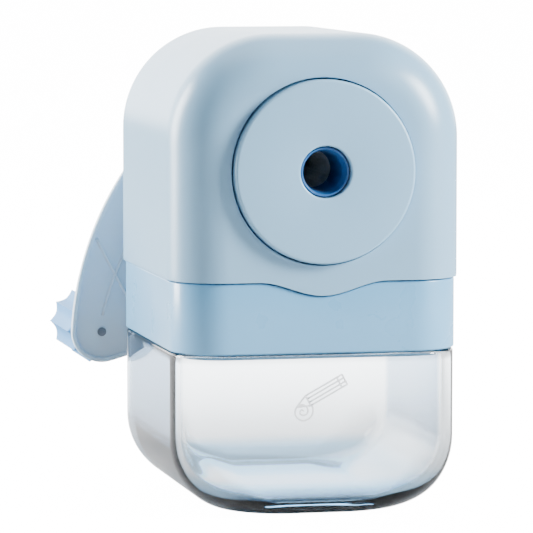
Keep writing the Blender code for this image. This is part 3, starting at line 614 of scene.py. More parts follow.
@dataclass
class BodyPlan:
    """The outline that cover, band and bin share, taken from the frame."""

    edge_round: float = 12.3 * MM
    top_round: float = 24 * MM
    wave_dip: float = 3.2 * MM
    wave_half: float = 15 * MM
    least_round: float = 1.5 * MM
    corner_points: int = 15
    side_points: int = 61
    low: Vector = field(default_factory=lambda: Vector(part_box("upper_housing")[0]))
    high: Vector = field(default_factory=lambda: Vector(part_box("upper_housing")[1]))
    pencil: Vector = field(default_factory=lambda: Vector(
        (0, 0, sum(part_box("guide_disc")[k][2] for k in (0, 1)) / 2)))

    @property
    def half_x(self) -> float:
        """Half of the body's width."""
        return self.high.x

    @property
    def half_y(self) -> float:
        """Half of the body's depth."""
        return self.high.y

    @property
    def edge_z(self) -> float:
        """The height of the cover's level lower edge."""
        return self.low.z + self.wave_dip

    def wave(self, x: Array, y: Array | float) -> Array:
        """How far the cover's front edge dips: a cosine bell across the middle, none at the back.

        Args:
            x: places across the body.
            y: places along its depth.

        Returns:
            The dips.
        """
        near = np.clip(np.abs(x) / self.wave_half, 0, 1)
        return np.where(np.asarray(y) < 0, self.wave_dip * (1 + np.cos(math.pi * near)) / 2, 0.0)

    def ring(self, inset: float | Array, side: Array | float = 0.0,
             foot: Array | float = 0.0) -> Array:
        """Level rings of the plan: a rectangle with round corners and close points along its sides.

        A corner point is the corner's centre plus the radius times (cos t, sin t); a side is a
        straight run between two corners, with as many points in every ring.

        Args:
            inset: how far in each ring lies.
            side: a further move in at the left and right.
            foot: a further move in at the front and back.

        Returns:
            An array of rings by points by two, each ring closed.
        """
        inset, side, foot = np.broadcast_arrays(np.atleast_1d(inset), side, foot)
        radius = np.maximum(self.edge_round - inset, self.least_round)[:, None]
        x = (self.half_x - inset - side)[:, None] - radius
        y = (self.half_y - inset - foot)[:, None] - radius
        arc = np.linspace(0, QUARTER, self.corner_points)[None, :]
        run = np.linspace(0, 1, self.side_points)[None, 1:-1, None]
        corners = []
        for k, (sx, sy) in enumerate(((1, 1), (-1, 1), (-1, -1), (1, -1))):
            angle = arc + k * QUARTER
            point = (sx * x + radius * np.cos(angle), sy * y + radius * np.sin(angle))
            corners.append(np.stack(point, -1))
        parts = []
        for corner, after in zip(corners, corners[1:] + corners[:1]):
            start, end = corner[:, -1:], after[:, :1]
            parts += [corner, start + (end - start) * run]
        return wrap(np.concatenate(parts, 1), 1)


PLAN = BodyPlan()


# Sub-assemblies
# --------------------------------------


@dataclass
class Cover:
    """The arched cover: a shell with a waved front edge and round openings at front and back."""

    wall: float = 2.2 * MM
    plate_flange: float = 1.6 * MM
    plate_gap: float = 0.5 * MM
    bush_radius: float = 6.05 * MM
    lip: float = 0.3 * MM
    lip_angle: float = 50.0
    face_rows: int = 34
    side_rows: int = 41
    corner_points: int = 33
    wall_points: int = 25
    roof_points: int = 17
    edge_points: int = 101

    def depth_in(self, x: Array, z: Array) -> Array:
        """How far a point of the front view is inside the arch: corner radius less distance."""
        qx = np.abs(x) - (PLAN.half_x - PLAN.top_round)
        qz = z - (PLAN.high.z - PLAN.top_round)
        outside = np.hypot(np.maximum(qx, 0), np.maximum(qz, 0))
        return PLAN.top_round - outside - np.minimum(np.maximum(qx, qz), 0)

    def face(self, radius: float, border: Array, sign: float) -> Array:
        """The front or back of the cover, from a round opening out to a border.

        A point lies between the opening and the border at sin(half pi t), so that points crowd
        where the edge rolls over. Its Y is the edge round's quarter circle over its depth inside
        the arch.

        Args:
            radius: the opening's radius.
            border: closed border points of the front view.
            sign: -1 for the front, 1 for the back.

        Returns:
            A grid of points.
        """
        centre = np.array([PLAN.pencil.x, PLAN.pencil.z])
        rim = centre + unit(border - centre) * radius
        share = np.sin(np.linspace(0, QUARTER, self.face_rows))[:, None, None]
        flat = rim[None] + (border - rim)[None] * share
        depth = np.clip(self.depth_in(flat[..., 0], flat[..., 1]), 0, PLAN.edge_round)
        roll = PLAN.edge_round - np.sqrt(PLAN.edge_round**2 - (PLAN.edge_round - depth) ** 2)
        return np.stack([flat[..., 0], sign * (PLAN.half_y - roll), flat[..., 1]], -1)

    def arch(self) -> Array:
        """The arch's outline from its lower right over the top to its lower left, close points."""
        reach, top, edge, corner = PLAN.half_x, PLAN.high.z, PLAN.edge_z, PLAN.top_round
        angle = np.linspace(0, QUARTER, self.corner_points)
        right = np.stack([
            reach - corner + corner * np.cos(angle), top - corner + corner * np.sin(angle)], -1)
        rise = np.linspace(edge, top - corner, self.wall_points)[:-1]
        half = np.concatenate([np.stack([np.full_like(rise, reach), rise], -1), right])
        run = np.linspace(reach - corner, corner - reach, self.roof_points)[1:-1]
        roof = np.stack([run, np.full_like(run, top)], -1)
        return np.concatenate([half, roof, half[::-1] * (-1, 1)])

    def face_out(self, shell: bpy.types.Object) -> None:
        """Turns the shell's faces out, by the sign of their summed areas away from its middle."""
        work = bmesh.new()
        work.from_mesh(shell.data)
        bmesh.ops.recalc_face_normals(work, faces=work.faces)
        outward = sum(
            face.normal.dot(face.calc_center_median() - PLAN.pencil) * face.calc_area()
            for face in work.faces)
        if outward < 0:
            bmesh.ops.reverse_faces(work, faces=work.faces)
        work.to_mesh(shell.data)
        work.free()

    def build(self) -> None:
        """Makes the shell from its front, sides and back, and gives it its wall."""
        arch = self.arch()
        x = np.linspace(-PLAN.half_x, PLAN.half_x, self.edge_points)[1:-1]
        waved = np.stack([x, PLAN.edge_z - PLAN.wave(x, -1.0)], -1)
        level = np.stack([x, np.full_like(x, PLAN.edge_z)], -1)
        disc_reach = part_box("guide_disc")[1][2] - PLAN.pencil.z
        opening = disc_reach - self.plate_flange + self.plate_gap
        front = self.face(opening, np.concatenate([arch, waved, arch[:1]]), -1.0)
        back = self.face(self.bush_radius, np.concatenate([arch, level, arch[:1]]), 1.0)
        depth = np.linspace(-1, 1, self.side_rows)[:, None] * (PLAN.half_y - PLAN.edge_round)
        sides = np.stack(np.broadcast_arrays(arch[:, 0], depth, arch[:, 1]), -1)
        shell = skin("cover_shell", [front, sides, back[:, ::-1]], closed=False)
        self.face_out(shell)
        wall = shell.modifiers.new("wall", "SOLIDIFY")
        wall.thickness = self.wall
        wall.offset = -1
        wall.use_even_offset = True
        soften(shell, self.lip, angle=self.lip_angle)
        settle(shell)
        fit(shell, Body.HEAD, COVER_BLUE, ["upper_housing"])


@dataclass
class Band:
    """The band between cover and bin, with its waved top, spigot, deck and skirt."""

    inset: float = 0.6 * MM
    wall: float = 2.0 * MM
    cover_wall: float = 2.2 * MM
    bin_wall: float = 3.3 * MM
    gap: float = 0.3 * MM
    deck: float = 2.0 * MM
    chute: float = 13 * MM
    arc_steps: int = 5

    def section(self) -> Array:
        """The band's section: rows of inset, height, share of the wave, and corner round."""
        low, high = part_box("collar")
        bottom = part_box("shavings_bin")[1][2] + self.gap
        shelf, rim = self.cover_wall + self.gap, PLAN.edge_z - self.gap
        deck, skirt = PLAN.edge_z - PLAN.wave_dip - self.gap, self.bin_wall + self.gap
        return np.array([
            (self.inset, bottom, 0, 0.4 * MM),
            (self.inset, rim, 1, 0.35 * MM),
            (shelf, rim, 1, 0.1 * MM),
            (shelf, high[2], 0, 0.3 * MM),
            (shelf + self.wall, high[2], 0, 0.3 * MM),
            (shelf + self.wall, deck, 0, 0.5 * MM),
            (self.chute, deck, 0, 0.3 * MM),
            (self.chute, deck - self.deck, 0, 0.3 * MM),
            (skirt + self.wall, deck - self.deck, 0, 0.5 * MM),
            (skirt + self.wall, low[2], 0, 0.3 * MM),
            (skirt, low[2], 0, 0.3 * MM),
            (skirt, bottom, 0, 0.1 * MM),
        ])

    def build(self) -> None:
        """Carries the band's section round the body's plan; its top edge follows the wave."""
        section = self.section()
        profile = fillet(section[:, :2], section[:, 3], self.arc_steps)
        follow = np.repeat(section[:, 2], self.arc_steps + 1)[:, None]
        ring = PLAN.ring(profile[:, 0])
        height = profile[:, 1:] - follow * PLAN.wave(ring[..., 0], ring[..., 1])
        band = skin("waved_band", [wrap(np.concatenate([ring, height[..., None]], -1), 0)])
        fit(band, Body.HEAD, BAND_BLUE, ["collar"])


@dataclass
class ClearBin:
    """The clear bin: thick walls, a thick floor and large round lower corners."""

    inset: float = 0.8 * MM
    wall: float = 2.5 * MM
    floor: float = 3.5 * MM
    corner: float = 17 * MM
    foot: float = 7 * MM
    inner_corner: float = 14 * MM
    inner_foot: float = 3.5 * MM
    lip: float = 0.6 * MM
    corner_rows: int = 28
    wall_rows: int = 12
    floor_rows: int = 10
    lip_rows: int = 7

    def level(self, rings: Array, heights: Array) -> Array:
        """Puts level rings at their heights."""
        tall = np.broadcast_to(heights[:, None, None], (*rings.shape[:2], 1))
        return np.concatenate([rings, tall], -1)

    def shell(self, inset: float, base: float, corner: float, foot: float, top: float) -> Array:
        """One wall surface of the bin, from the middle of its floor up to its rim.

        At angle t the height is corner (1 - cos t) and the side moves in by corner (1 - sin t). The
        front and back move in along the smaller foot round at the same height.

        Args:
            inset: how far the wall lies inside the body's plan.
            base: the floor's height.
            corner: the lower corner's radius, seen from the front.
            foot: the round at the foot of the front and the back.
            top: the rim's height.

        Returns:
            A grid of points.
        """
        angle = np.linspace(0, QUARTER, self.corner_rows)
        height, side = corner * (1 - np.cos(angle)), corner * (1 - np.sin(angle))
        rise = np.clip(height / foot, 0, 1)
        back = foot * (1 - np.sqrt(1 - (1 - rise) ** 2))
        wall = self.level(PLAN.ring(inset, side, back), base + height)
        upper = np.linspace(base + corner, top, self.wall_rows)[1:]
        rim = self.level(np.repeat(wall[-1:, :, :2], len(upper), 0), upper)
        middle = wall[:1] * (0, 0, 1)
        share = np.linspace(0, 1, self.floor_rows)[:-1, None, None]
        return np.concatenate([middle + (wall[:1] - middle) * share, wall, rim])

    def build(self) -> None:
        """Joins an outer and an inner surface over a rounded rim."""
        low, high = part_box("shavings_bin")
        top = high[2] - self.lip
        outer = self.shell(self.inset, low[2], self.corner, self.foot, top)
        inner = self.shell(
            self.inset + self.wall, low[2] + self.floor, self.inner_corner, self.inner_foot, top)
        angle = np.linspace(0, QUARTER, self.lip_rows)[1:]
        move, heights = self.lip * (1 - np.cos(angle)), top + self.lip * np.sin(angle)
        out_rim = self.level(PLAN.ring(self.inset + move), heights)
        in_rim = self.level(PLAN.ring(self.inset + self.wall - move), heights)
        grid = np.concatenate([outer, out_rim, in_rim[::-1], inner[::-1]])
        fit(skin("clear_bin", [grid]), Body.BIN, BIN_CLEAR, ["shavings_bin"])


@dataclass
class Print:
    """A small generic drawing of a pencil and a curl of shaving, printed on the bin's front.

    The drawing's own sizes are in millimetres, from its centre.
    """

    centre: Span = (0.5 * MM, 29 * MM)
    line: float = 0.42 * MM
    lift: float = 0.02 * MM
    height: float = 0.03 * MM
    lean: float = 0.5
    half: float = 1.3
    end: float = 5.2
    shoulder: float = -4.5
    nib: float = -7.6
    grain: float = 0.45
    ferrule: float = 3.8
    lead: Span = (-6.7, 0.36)
    curl_centre: Span = (-5.2, -4.6)
    curl_growth: float = 0.19
    curl_turn: Span = (0.4, 4.2 * math.pi)
    curl_points: int = 90
    run_points: int = 12
    section_points: int = 13

    def stroke(self, name: str, path: Array) -> bpy.types.Object:
        """A low line of oval section along a path on the bin's front, open at its last end.

        Args:
            name: the object's name.
            path: rows of (x, z), in the drawing's millimetres.

        Returns:
            The line.
        """
        path = path * MM + np.array(self.centre)
        side = normals(path) * self.line / 2
        angle = np.linspace(0, math.tau, self.section_points)
        flat = path[:, None] + side[:, None] * np.cos(angle)[None, :, None]
        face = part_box("shavings_bin")[0][1]
        out = face - self.lift - self.height * (1 + np.sin(angle))
        tube = np.stack([flat[..., 0], np.broadcast_to(out, flat.shape[:2]), flat[..., 1]], -1)
        return skin(name, [close_start(tube)])

    def run(self, *points: Span) -> Array:
        """Straight runs from point to point, leaned with the pencil."""
        cos, sin = math.cos(self.lean), math.sin(self.lean)
        corners = np.array(points) @ np.array([(cos, sin), (-sin, cos)])
        share = np.linspace(0, 1, self.run_points)[:, None]
        return np.concatenate([a + (b - a) * share for a, b in zip(corners[:-1], corners[1:])])

    def curl(self) -> Array:
        """The shaving: a spiral whose radius grows evenly with its angle."""
        angle = np.linspace(*self.curl_turn, self.curl_points)
        wheel = np.stack([np.cos(angle), np.sin(angle)], -1)
        return np.array(self.curl_centre) + self.curl_growth * angle[:, None] * wheel

    def build(self) -> None:
        """Draws the pencil's outline, its inner lines, its point and the shaving."""
        back, front, half, grain = self.shoulder, self.end, self.half, self.grain
        lead, lead_half = self.lead
        body = ((back, -half), (front, -half), (front, half), (back, half), (self.nib, 0.0),
                (back, -half))
        shapes = {
            "body": self.run(*body),
            "grain": self.run((back, grain), (front, grain)),
            "grain_low": self.run((back, -grain), (front, -grain)),
            "collar": self.run((self.ferrule, -half), (self.ferrule, half)),
            "shoulder": self.run((back, -half), (back, half)),
            "point": self.run((lead, -lead_half), (lead, lead_half)),
            "shaving": self.curl(),
        }
        for name, path in shapes.items():
            fit(self.stroke(f"print_{name}", path), Body.BIN, PRINT_WHITE)


@dataclass
class FrontPlate:
    """The raised round plate, its two rear posts, and the dark funnel in its hole."""

    hole: float = 5.9 * MM
    hole_round: float = 0.45 * MM
    edge_round: float = 0.7 * MM
    seat_depth: float = 3.3 * MM
    seat_round: float = 0.2 * MM
    flange: float = 1.6 * MM
    flange_round: float = 0.3 * MM
    post: float = 2.6 * MM
    post_bore: float = 1.55 * MM
    post_sunk: float = 0.4 * MM
    post_round: float = 0.15 * MM
    funnel_gap: float = 0.3 * MM
    funnel_lip: float = 0.45 * MM
    funnel_depth: float = 3.2 * MM
    throat: Span = (4.6 * MM, 4.3 * MM)
    spigot: float = 3.2 * MM
    spigot_wall: float = 1.0 * MM
    stop: float = 1.4 * MM
    funnel_round: float = 0.12 * MM
    steps: int = 160
    post_steps: int = 40

    def plate(self, rear: float) -> None:
        """Turns the plate, from its hole over its face and down to the flange behind the cover."""
        low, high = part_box("guide_disc")
        radius = high[2] - PLAN.pencil.z - self.flange
        face, seat, wide = low[1], rear - self.flange, radius + self.flange
        corners = [(face, self.hole), (face, radius), (seat, radius), (seat, wide), (rear, wide),
                   (rear, self.hole)]
        radii = np.array([self.hole_round, self.edge_round, self.seat_round, self.flange_round,
                          self.flange_round, self.seat_round])
        plate = turned("front_plate", corners, radii, PLAN.pencil, self.steps)
        fit(plate, Body.HEAD, PLATE_BLUE, ["guide_disc"])

    def posts(self, rear: float) -> None:
        """Turns the two hollow posts that take the ring gear's screws."""
        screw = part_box("ring_screw_right")
        reach = (screw[0][0] + screw[1][0]) / 2
        start, end = rear - self.post_sunk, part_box("guide_disc")[1][1]
        corners = [(start, self.post_bore), (start, self.post), (end, self.post),
                   (end, self.post_bore)]
        for side, x in (("left", -reach), ("right", reach)):
            centre = PLAN.pencil + Vector((x, 0, 0))
            post = turned(f"plate_post_{side}", corners, self.post_round, centre, self.post_steps)
            fit(post, Body.HEAD, PLATE_BLUE)

    def funnel(self, rear: float) -> None:
        """Turns the funnel: a flared mouth, a throat, a thin spigot and the stop ring behind."""
        low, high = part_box("pencil_guide")
        tube, wide = self.hole - self.funnel_gap, high[2] - PLAN.pencil.z
        front, end = low[1], high[1]
        step, thin = end - self.spigot, tube - self.spigot_wall
        stop = rear + self.funnel_gap
        corners = [
            (front, tube), (front, tube - self.funnel_lip),
            (front + self.funnel_depth, self.throat[0]), (end, self.throat[1]),
            (end, thin), (step, thin), (step, tube), (stop + self.stop, tube),
            (stop + self.stop, wide), (stop, wide), (stop, tube)]
        funnel = turned("pencil_funnel", corners, self.funnel_round, PLAN.pencil)
        fit(funnel, Body.HEAD, FUNNEL_NAVY, ["pencil_guide"])

    def build(self) -> None:
        """Makes the plate, its posts and the funnel about the pencil's axis."""
        rear = -PLAN.half_y + self.seat_depth + self.flange
        self.plate(rear)
        self.posts(rear)
        self.funnel(rear)


@dataclass
class CrankArm:
    """The broad dished arm with its rim, two ribs and hub.

    The arm's own axes are u, from the hub to the knob, and v, across. The ribs' paths on its inner
    face are in millimetres.
    """

    rim_gap: float = 4.2 * MM
    rim: float = 0.8 * MM
    rim_width: float = 1.0 * MM
    wall: float = 2.0 * MM
    edge_share: float = 0.1
    edge_fall: float = 0.9 * MM
    edge_round: float = 0.22 * MM
    half_width: float = 21.3 * MM
    widest: float = 15 * MM
    side_radius: float = 79 * MM
    dish: float = 2.4 * MM
    dish_end: float = 9 * MM
    dish_fade: float = 26 * MM
    hub: float = 7.5 * MM
    hub_wall: float = 1.4 * MM
    hub_bore: float = 2.8 * MM
    hub_sunk: float = 0.4 * MM
    hub_round: float = 0.3 * MM
    ridge_start: Span = (40.3, 15.6)
    ridge_run: Span = (8.7, -21.0)
    rib_reach: Span = (9.0, 54.0)
    rib_peak: Span = (25.0, 9.3)
    rib_bend: float = 0.0082
    rib_half: float = 0.42 * MM
    rib_rise: float = 0.55 * MM
    rib_taper: int = 12
    sheet_rows: int = 26
    arc_points: int = 41
    tip_points: int = 25
    rib_points: int = 41
    rib_section: int = 21
    pin: Vector = field(init=False)
    length: float = field(init=False)
    along: Array = field(init=False)
    across: Array = field(init=False)
    front: float = field(init=False)
    back: float = field(init=False)

    def __post_init__(self) -> None:
        """Works out the arm's own axes, from the hub to the knob and across."""
        low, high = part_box("knob_pin")
        self.pin = Vector(((low[0] + high[0]) / 2, 0, (low[2] + high[2]) / 2))
        run = self.pin - PLAN.pencil
        run.y = 0
        self.length = run.length
        self.along = np.array(run.normalized())
        self.across = np.array([self.along[2], 0.0, -self.along[0]])
        self.front = PLAN.half_y + self.rim_gap
        self.back = self.front + self.rim + self.wall

    def outline(self, inset: float = 0.0) -> Array:
        """The arm's outline: a small end circle, two large side arcs and a round hub end.

        Args:
            inset: how far in the outline lies.

        Returns:
            Closed rows of (u, v).
        """
        centre = self.half_width - self.side_radius
        lean = math.atan2(-centre, self.length - self.widest)
        end = self.side_radius - math.hypot(self.length - self.widest, centre) - inset
        first = np.linspace(0, lean, self.tip_points)
        tip = np.stack([self.length + end * np.cos(first), end * np.sin(first)], -1)
        second = np.linspace(lean, QUARTER, self.arc_points)[1:]
        side = self.side_radius - inset
        flank = np.stack([self.widest + side * np.cos(second), centre + side * np.sin(second)], -1)
        third = np.linspace(0, QUARTER, self.arc_points)[1:]
        hub = self.half_width - inset
        behind = self.widest - (self.widest + hub) * np.sin(third)
        half = np.concatenate([tip, flank, np.stack([behind, hub * np.cos(third)], -1)])
        return np.concatenate([half, half[-2:0:-1] * (1, -1), half[:1]])

    def place(self, flat: Array, y: Array | float) -> Array:
        """Puts (u, v) points and their Y in the frame."""
        points = np.array(PLAN.pencil) + flat[..., :1] * self.along + flat[..., 1:] * self.across
        points[..., 1] = y
        return points

    def bulge(self, flat: Array) -> Array:
        """How far the plate is domed to the back: a parabola across, faded out to the knob."""
        u, v = flat[..., 0], flat[..., 1]
        fade = np.clip((self.length - self.dish_end - u) / self.dish_fade, 0, 1)
        fade = fade * fade * (3 - 2 * fade)
        return self.dish * fade * np.clip(1 - (v / self.half_width) ** 2, 0, 1)

    def inner_face(self, flat: Array) -> Array:
        """The Y of the arm's inner face."""
        return self.front + self.rim + self.bulge(flat)

    def sheet(self, outline: Array, shares: Array) -> Array:
        """(u, v) points between the arm's middle line and its outline, at the given shares."""
        middle = np.stack([np.clip(outline[:, 0], 0, self.length), np.zeros(len(outline))], -1)
        return middle[None] + (outline - middle)[None] * shares[:, None, None]

    def plate(self) -> None:
        """Joins the dished inner face, the rim and the outer face with its rolled edge."""
        outline, inside = self.outline(), self.outline(self.rim_width)
        shares = np.linspace(0, 1, self.sheet_rows)
        inner = self.sheet(inside, shares)
        inner = self.place(inner, self.inner_face(inner))
        rim = [self.place(inside, self.front)[None], self.place(outline, self.front)[None]]
        outer = self.sheet(outline, shares)
        fall = np.clip((shares - (1 - self.edge_share)) / self.edge_share, 0, 1)[:, None] ** 2
        outer = self.place(outer, self.back + self.bulge(outer) - fall * self.edge_fall)
        plate = skin("arm_plate", [np.concatenate([inner, *rim, outer[::-1]])])
        soften(plate, self.edge_round)
        settle(plate)
        fit(plate, Body.CRANK, ARM_PALE, ["crank_arm"])

    def rib(self, name: str, path: Array) -> None:
        """Carries an oval section along a path on the inner face; both ends taper to nothing.

        Args:
            name: the rib's name.
            path: rows of (u, v).
        """
        angle = np.linspace(0, math.tau, self.rib_section)
        across, up = self.rib_half * np.cos(angle), self.rib_rise * np.sin(angle)
        flat = path[:, None] + normals(path)[:, None] * across[None, :, None]
        ends = np.abs(np.linspace(-1, 1, len(path))) ** self.rib_taper
        taper = np.sqrt(np.clip(1 - ends, 0, 1))[:, None]
        tube = self.place(flat, self.inner_face(path)[:, None] - up[None] * taper)
        fit(skin(name, [close_start(tube)]), Body.CRANK, ARM_PALE)

    def build(self) -> None:
        """Makes the plate, the ribs and the hub."""
        self.plate()
        share = np.linspace(0, 1, self.rib_points)[:, None]
        self.rib("arm_ridge", (np.array(self.ridge_start) + np.array(self.ridge_run) * share) * MM)
        u = np.linspace(*self.rib_reach, self.rib_points)
        v = self.rib_peak[1] - self.rib_bend * (u - self.rib_peak[0]) ** 2
        self.rib("arm_rib", np.stack([u, v], -1) * MM)
        low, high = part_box("crank_arm")
        well, floor = self.hub - self.hub_wall, self.back - self.hub_sunk
        corners = [(low[1], self.hub_bore), (low[1], self.hub), (high[1], self.hub),
                   (high[1], well), (floor, well), (floor, self.hub_bore)]
        hub = turned("arm_hub", corners, self.hub_round, PLAN.pencil)
        fit(hub, Body.CRANK, ARM_PALE)


@dataclass
class CrankKnob:
    """The lobed knob: pointed lobes with hollow scallops between them."""

    lobes: int = 10
    tip: float = 8.2 * MM
    waist: float = 6.9 * MM
    hollow: float = 0.75
    well: float = 2.7 * MM
    well_depth: float = 3.2 * MM
    near_roll: float = 0.84 * MM
    near_narrow: float = 0.1
    far_roll: float = 1.4 * MM
    far_narrow: float = 0.17
    edge_round: float = 0.2 * MM
    lobe_points: int = 40
    roll_rows: int = 9
    side_rows: int = 14
    face_rows: int = 8

    def sides(self, start: float, end: float) -> Array:
        """The side's profile, rolled over at both ends.

        Args:
            start: the Y of the end at the arm.
            end: the Y of the free end.

        Returns:
            Rows of (Y, share of the outline's radius).
        """
        angle = np.linspace(0, QUARTER, self.roll_rows)
        out, drop = 1 - np.sin(angle), 1 - np.cos(angle)
        near = np.stack([start + self.near_roll * out, 1 - self.near_narrow * drop], -1)[::-1]
        far = np.stack([end - self.far_roll * out, 1 - self.far_narrow * drop], -1)
        return np.concatenate([near, np.linspace(near[-1], far[0], self.side_rows)[1:-1], far])

    def build(self) -> None:
        """Carries the lobed outline along the knob's axis, and sinks a well in its free end.

        The outline's radius is the tip's less a power of |sin(lobes t / 2)|, which gives the lobes
        their points and the scallops their hollows.
        """
        low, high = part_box("crank_knob")
        start, end = low[1], high[1]
        pin, sides = CrankArm().pin, self.sides(start, end)
        angle = np.linspace(0, math.tau, self.lobe_points * self.lobes + 1)
        phase = np.abs(np.sin(angle * self.lobes / 2))
        outline = self.tip - (self.tip - self.waist) * phase**self.hollow
        middle, well = np.zeros_like(angle), np.full_like(angle, self.well)
        side = sides[:, 1:] * outline[None]
        share = np.linspace(0, 1, self.face_rows)[1:, None]
        face = side[-1:] + (well - side[-1:]) * share
        radius = np.concatenate([middle[None], side, face, np.stack([well, middle])])
        floor = end - self.well_depth
        along = np.concatenate([[start], sides[:, 0], np.full(len(face), end), [floor, floor]])
        x, z = pin.x + radius * np.cos(angle), pin.z + radius * np.sin(angle)
        grid = np.stack([x, np.broadcast_to(along[:, None], x.shape), z], -1)
        knob = skin("lobed_knob", [grid])
        soften(knob, self.edge_round, 2)
        settle(knob)
        fit(knob, Body.KNOB, KNOB_BLUE, ["crank_knob"])


@dataclass
class HubCap:
    """The domed cap in the arm's hub."""

    dome: float = 0.7 * MM
    dome_rows: int = 14
    edge_fall: float = 0.5 * MM
    edge_power: int = 14
    flange: float = 1.2 * MM
    plug: float = 5.8 * MM
    plug_round: float = 0.2 * MM

    def build(self) -> None:
        """Turns a shallow dome, a parabola with a quick fall at its edge, with a plug behind it."""
        low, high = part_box("crank_cap")
        radius, face, back = high[0], high[1], low[1]
        ring = np.linspace(0, 1, self.dome_rows)
        along = face - self.dome * ring**2 - self.edge_fall * ring**self.edge_power
        lip = back + self.flange
        corners = [(lip, radius), (lip, self.plug), (back, self.plug), (back, 0.0)]
        under = fillet(corners, self.plug_round, 4, closed=False)
        profile = np.concatenate([np.stack([along, radius * ring], -1), under])
        cap = skin("hub_cap", [turn(profile, PLAN.pencil)])
        fit(cap, Body.CRANK, KNOB_BLUE, ["crank_cap"])


class Works:
    """The pieces that keep the frame's own meshes: gears, carrier, shaft, screws and pins."""

    FINISHES: dict[str, Finish] = {
        "ring_gear": INNER_WHITE, "cutter_carrier": INNER_WHITE, "rear_bush": INNER_WHITE,
        "helical_cutter": CUTTER_STEEL, "cutter_pinion": PINION_BRASS, "knob_pin": PIN_STEEL,
    }

    def build(self) -> None:
        """Dresses every node of the frame; those that a new piece replaces are not seen."""
        for name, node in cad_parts.items():
            dress(node, self.FINISHES.get(name, STEEL))
            LOG.info("%s: dressed", name)


@dataclass(frozen=True)
class Lamp:
    """A soft rectangular lamp that faces the body's middle: its place, its size and its watts."""

    name: str
    place: Colour
    size: Span
    power: float


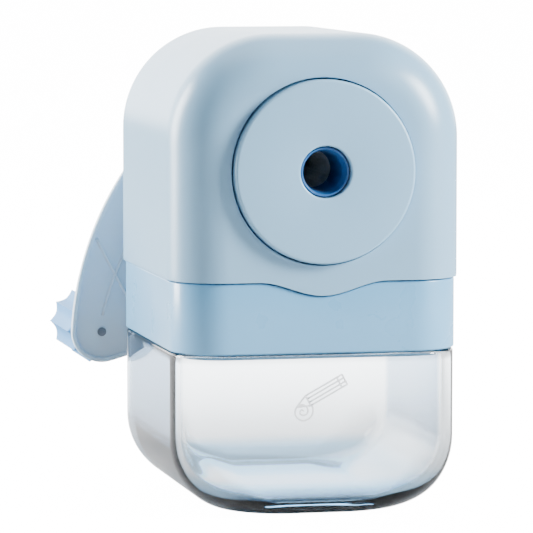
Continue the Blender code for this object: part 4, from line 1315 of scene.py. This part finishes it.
@dataclass
class Studio:
    """The floor, the lights and the camera.

    The floor and the sky glow white to the camera, and light that leaves through the clear bin
    meets a brighter floor behind the body, as in a studio with a lit backdrop.
    """

    azimuth: float = math.radians(-12.39)
    elevation: float = math.radians(5.08)
    distance: float = 0.94099
    target: Colour = (-0.00476, 0.0, 0.05416)
    lens: float = 269.3
    sensor: float = 36.0
    clip: Span = (0.05, 10.0)
    front_sky: float = 0.18
    back_sky: float = 7.0
    sky_fade: Span = (0.35, 0.9)
    sky_tint: Colour = (0.45, 0.7, 1.0)
    tint_fade: Span = (0.35, 0.6)
    floor_half: float = 12.0
    floor_drop: float = 0.2 * MM
    floor_grey: float = 0.5
    floor_rough: float = 0.95
    floor_glow: float = 5.5
    glow_fade: Span = (0.04, 0.3)
    seen_glow: float = 15.0
    lamps: tuple[Lamp, ...] = (
        Lamp("side_lamp", (-0.84, 0.5, 0.3), (0.36, 0.7), 36.0),
        Lamp("key_lamp", (0.92, -0.52, 0.5), (0.35, 0.45), 44.0),
        Lamp("top_lamp", (-0.1, 0.0, 1.1), (0.8, 0.8), 5.0),
    )

    def hang(self, lamp: Lamp) -> None:
        """Adds a lamp and turns it to the body."""
        light = bpy.data.lights.new(lamp.name, "AREA")
        light.shape = "RECTANGLE"
        light.size, light.size_y = lamp.size
        light.energy = lamp.power
        holder = bpy.data.objects.new(lamp.name, light)
        holder.location = lamp.place
        aim = Vector(self.target) - Vector(lamp.place)
        holder.rotation_euler = aim.to_track_quat("-Z", "Y").to_euler()
        bpy.context.scene.collection.objects.link(holder)

    def sky(self) -> None:
        """A sky that is bright and white behind the body, dim and blue before it."""
        world = bpy.data.worlds.new("studio_sky")
        bpy.context.scene.world = world
        world.use_nodes = True
        make = Sockets(world.node_tree)
        behind = make.axes(make.add("ShaderNodeTexCoord").outputs["Generated"])["Y"]
        bright = make.ramp(behind, (self.front_sky, self.back_sky), self.sky_fade)
        camera = make.add("ShaderNodeLightPath").outputs["Is Camera Ray"]
        seen = make.math("MULTIPLY_ADD", camera, self.seen_glow - self.back_sky, bright)
        share = make.ramp(behind, reach=self.tint_fade, smooth=False)
        tint = make.mix(share, (*self.sky_tint, 1.0), (1.0, 1.0, 1.0, 1.0))
        make.fill(world.node_tree.nodes["Background"], {"Strength": seen, "Color": tint})

    def floor(self) -> None:
        """A pale matt floor, with its glow to the camera and behind the clear bin."""
        run = np.linspace(-self.floor_half, self.floor_half, 3)
        x, y = np.meshgrid(run, run)
        grid = np.stack([x, y, np.full_like(x, -self.floor_drop)], -1)
        floor = skin("studio_floor", [grid], flip=True, closed=False)
        white, make, shader = new_material("floor_white")
        path = make.add("ShaderNodeLightPath").outputs
        behind = make.ramp(make.axes(make.place())["Y"], reach=self.glow_fade)
        beyond = make.math("MULTIPLY", path["Is Transmission Ray"], behind)
        lit = make.math("MULTIPLY", beyond, self.floor_glow)
        glow = make.math("MULTIPLY_ADD", path["Is Camera Ray"], self.seen_glow, lit)
        make.fill(shader, {
            "Base Color": (*[self.floor_grey] * 3, 1.0), "Roughness": self.floor_rough,
            "Emission Strength": glow, "Emission Color": (1.0, 1.0, 1.0, 1.0)})
        floor.data.materials.append(white)

    def camera(self) -> None:
        """The camera, at its distance from the target along its azimuth and elevation."""
        camera = bpy.data.objects.new("camera", bpy.data.cameras.new("camera"))
        camera.data.lens = self.lens
        camera.data.sensor_width = self.sensor
        level = math.cos(self.elevation)
        away = Vector((math.sin(self.azimuth) * level, -math.cos(self.azimuth) * level,
                       math.sin(self.elevation)))
        camera.location = Vector(self.target) + away * self.distance
        camera.rotation_euler = (-away).to_track_quat("-Z", "Y").to_euler()
        camera.data.clip_start, camera.data.clip_end = self.clip
        bpy.context.scene.collection.objects.link(camera)
        bpy.context.scene.camera = camera

    def build(self) -> None:
        """Sets the floor, the sky, the lamps and the camera."""
        self.floor()
        self.sky()
        for lamp in self.lamps:
            self.hang(lamp)
        self.camera()


def main() -> None:
    """Builds every sub-assembly in order."""
    Studio().build()
    Works().build()
    parts = (Cover(), Band(), ClearBin(), Print(), FrontPlate(), CrankArm(), CrankKnob(), HubCap())
    for part in parts:
        part.build()
        LOG.info("built %s", type(part).__name__)


if __name__ == "__main__":
    main()
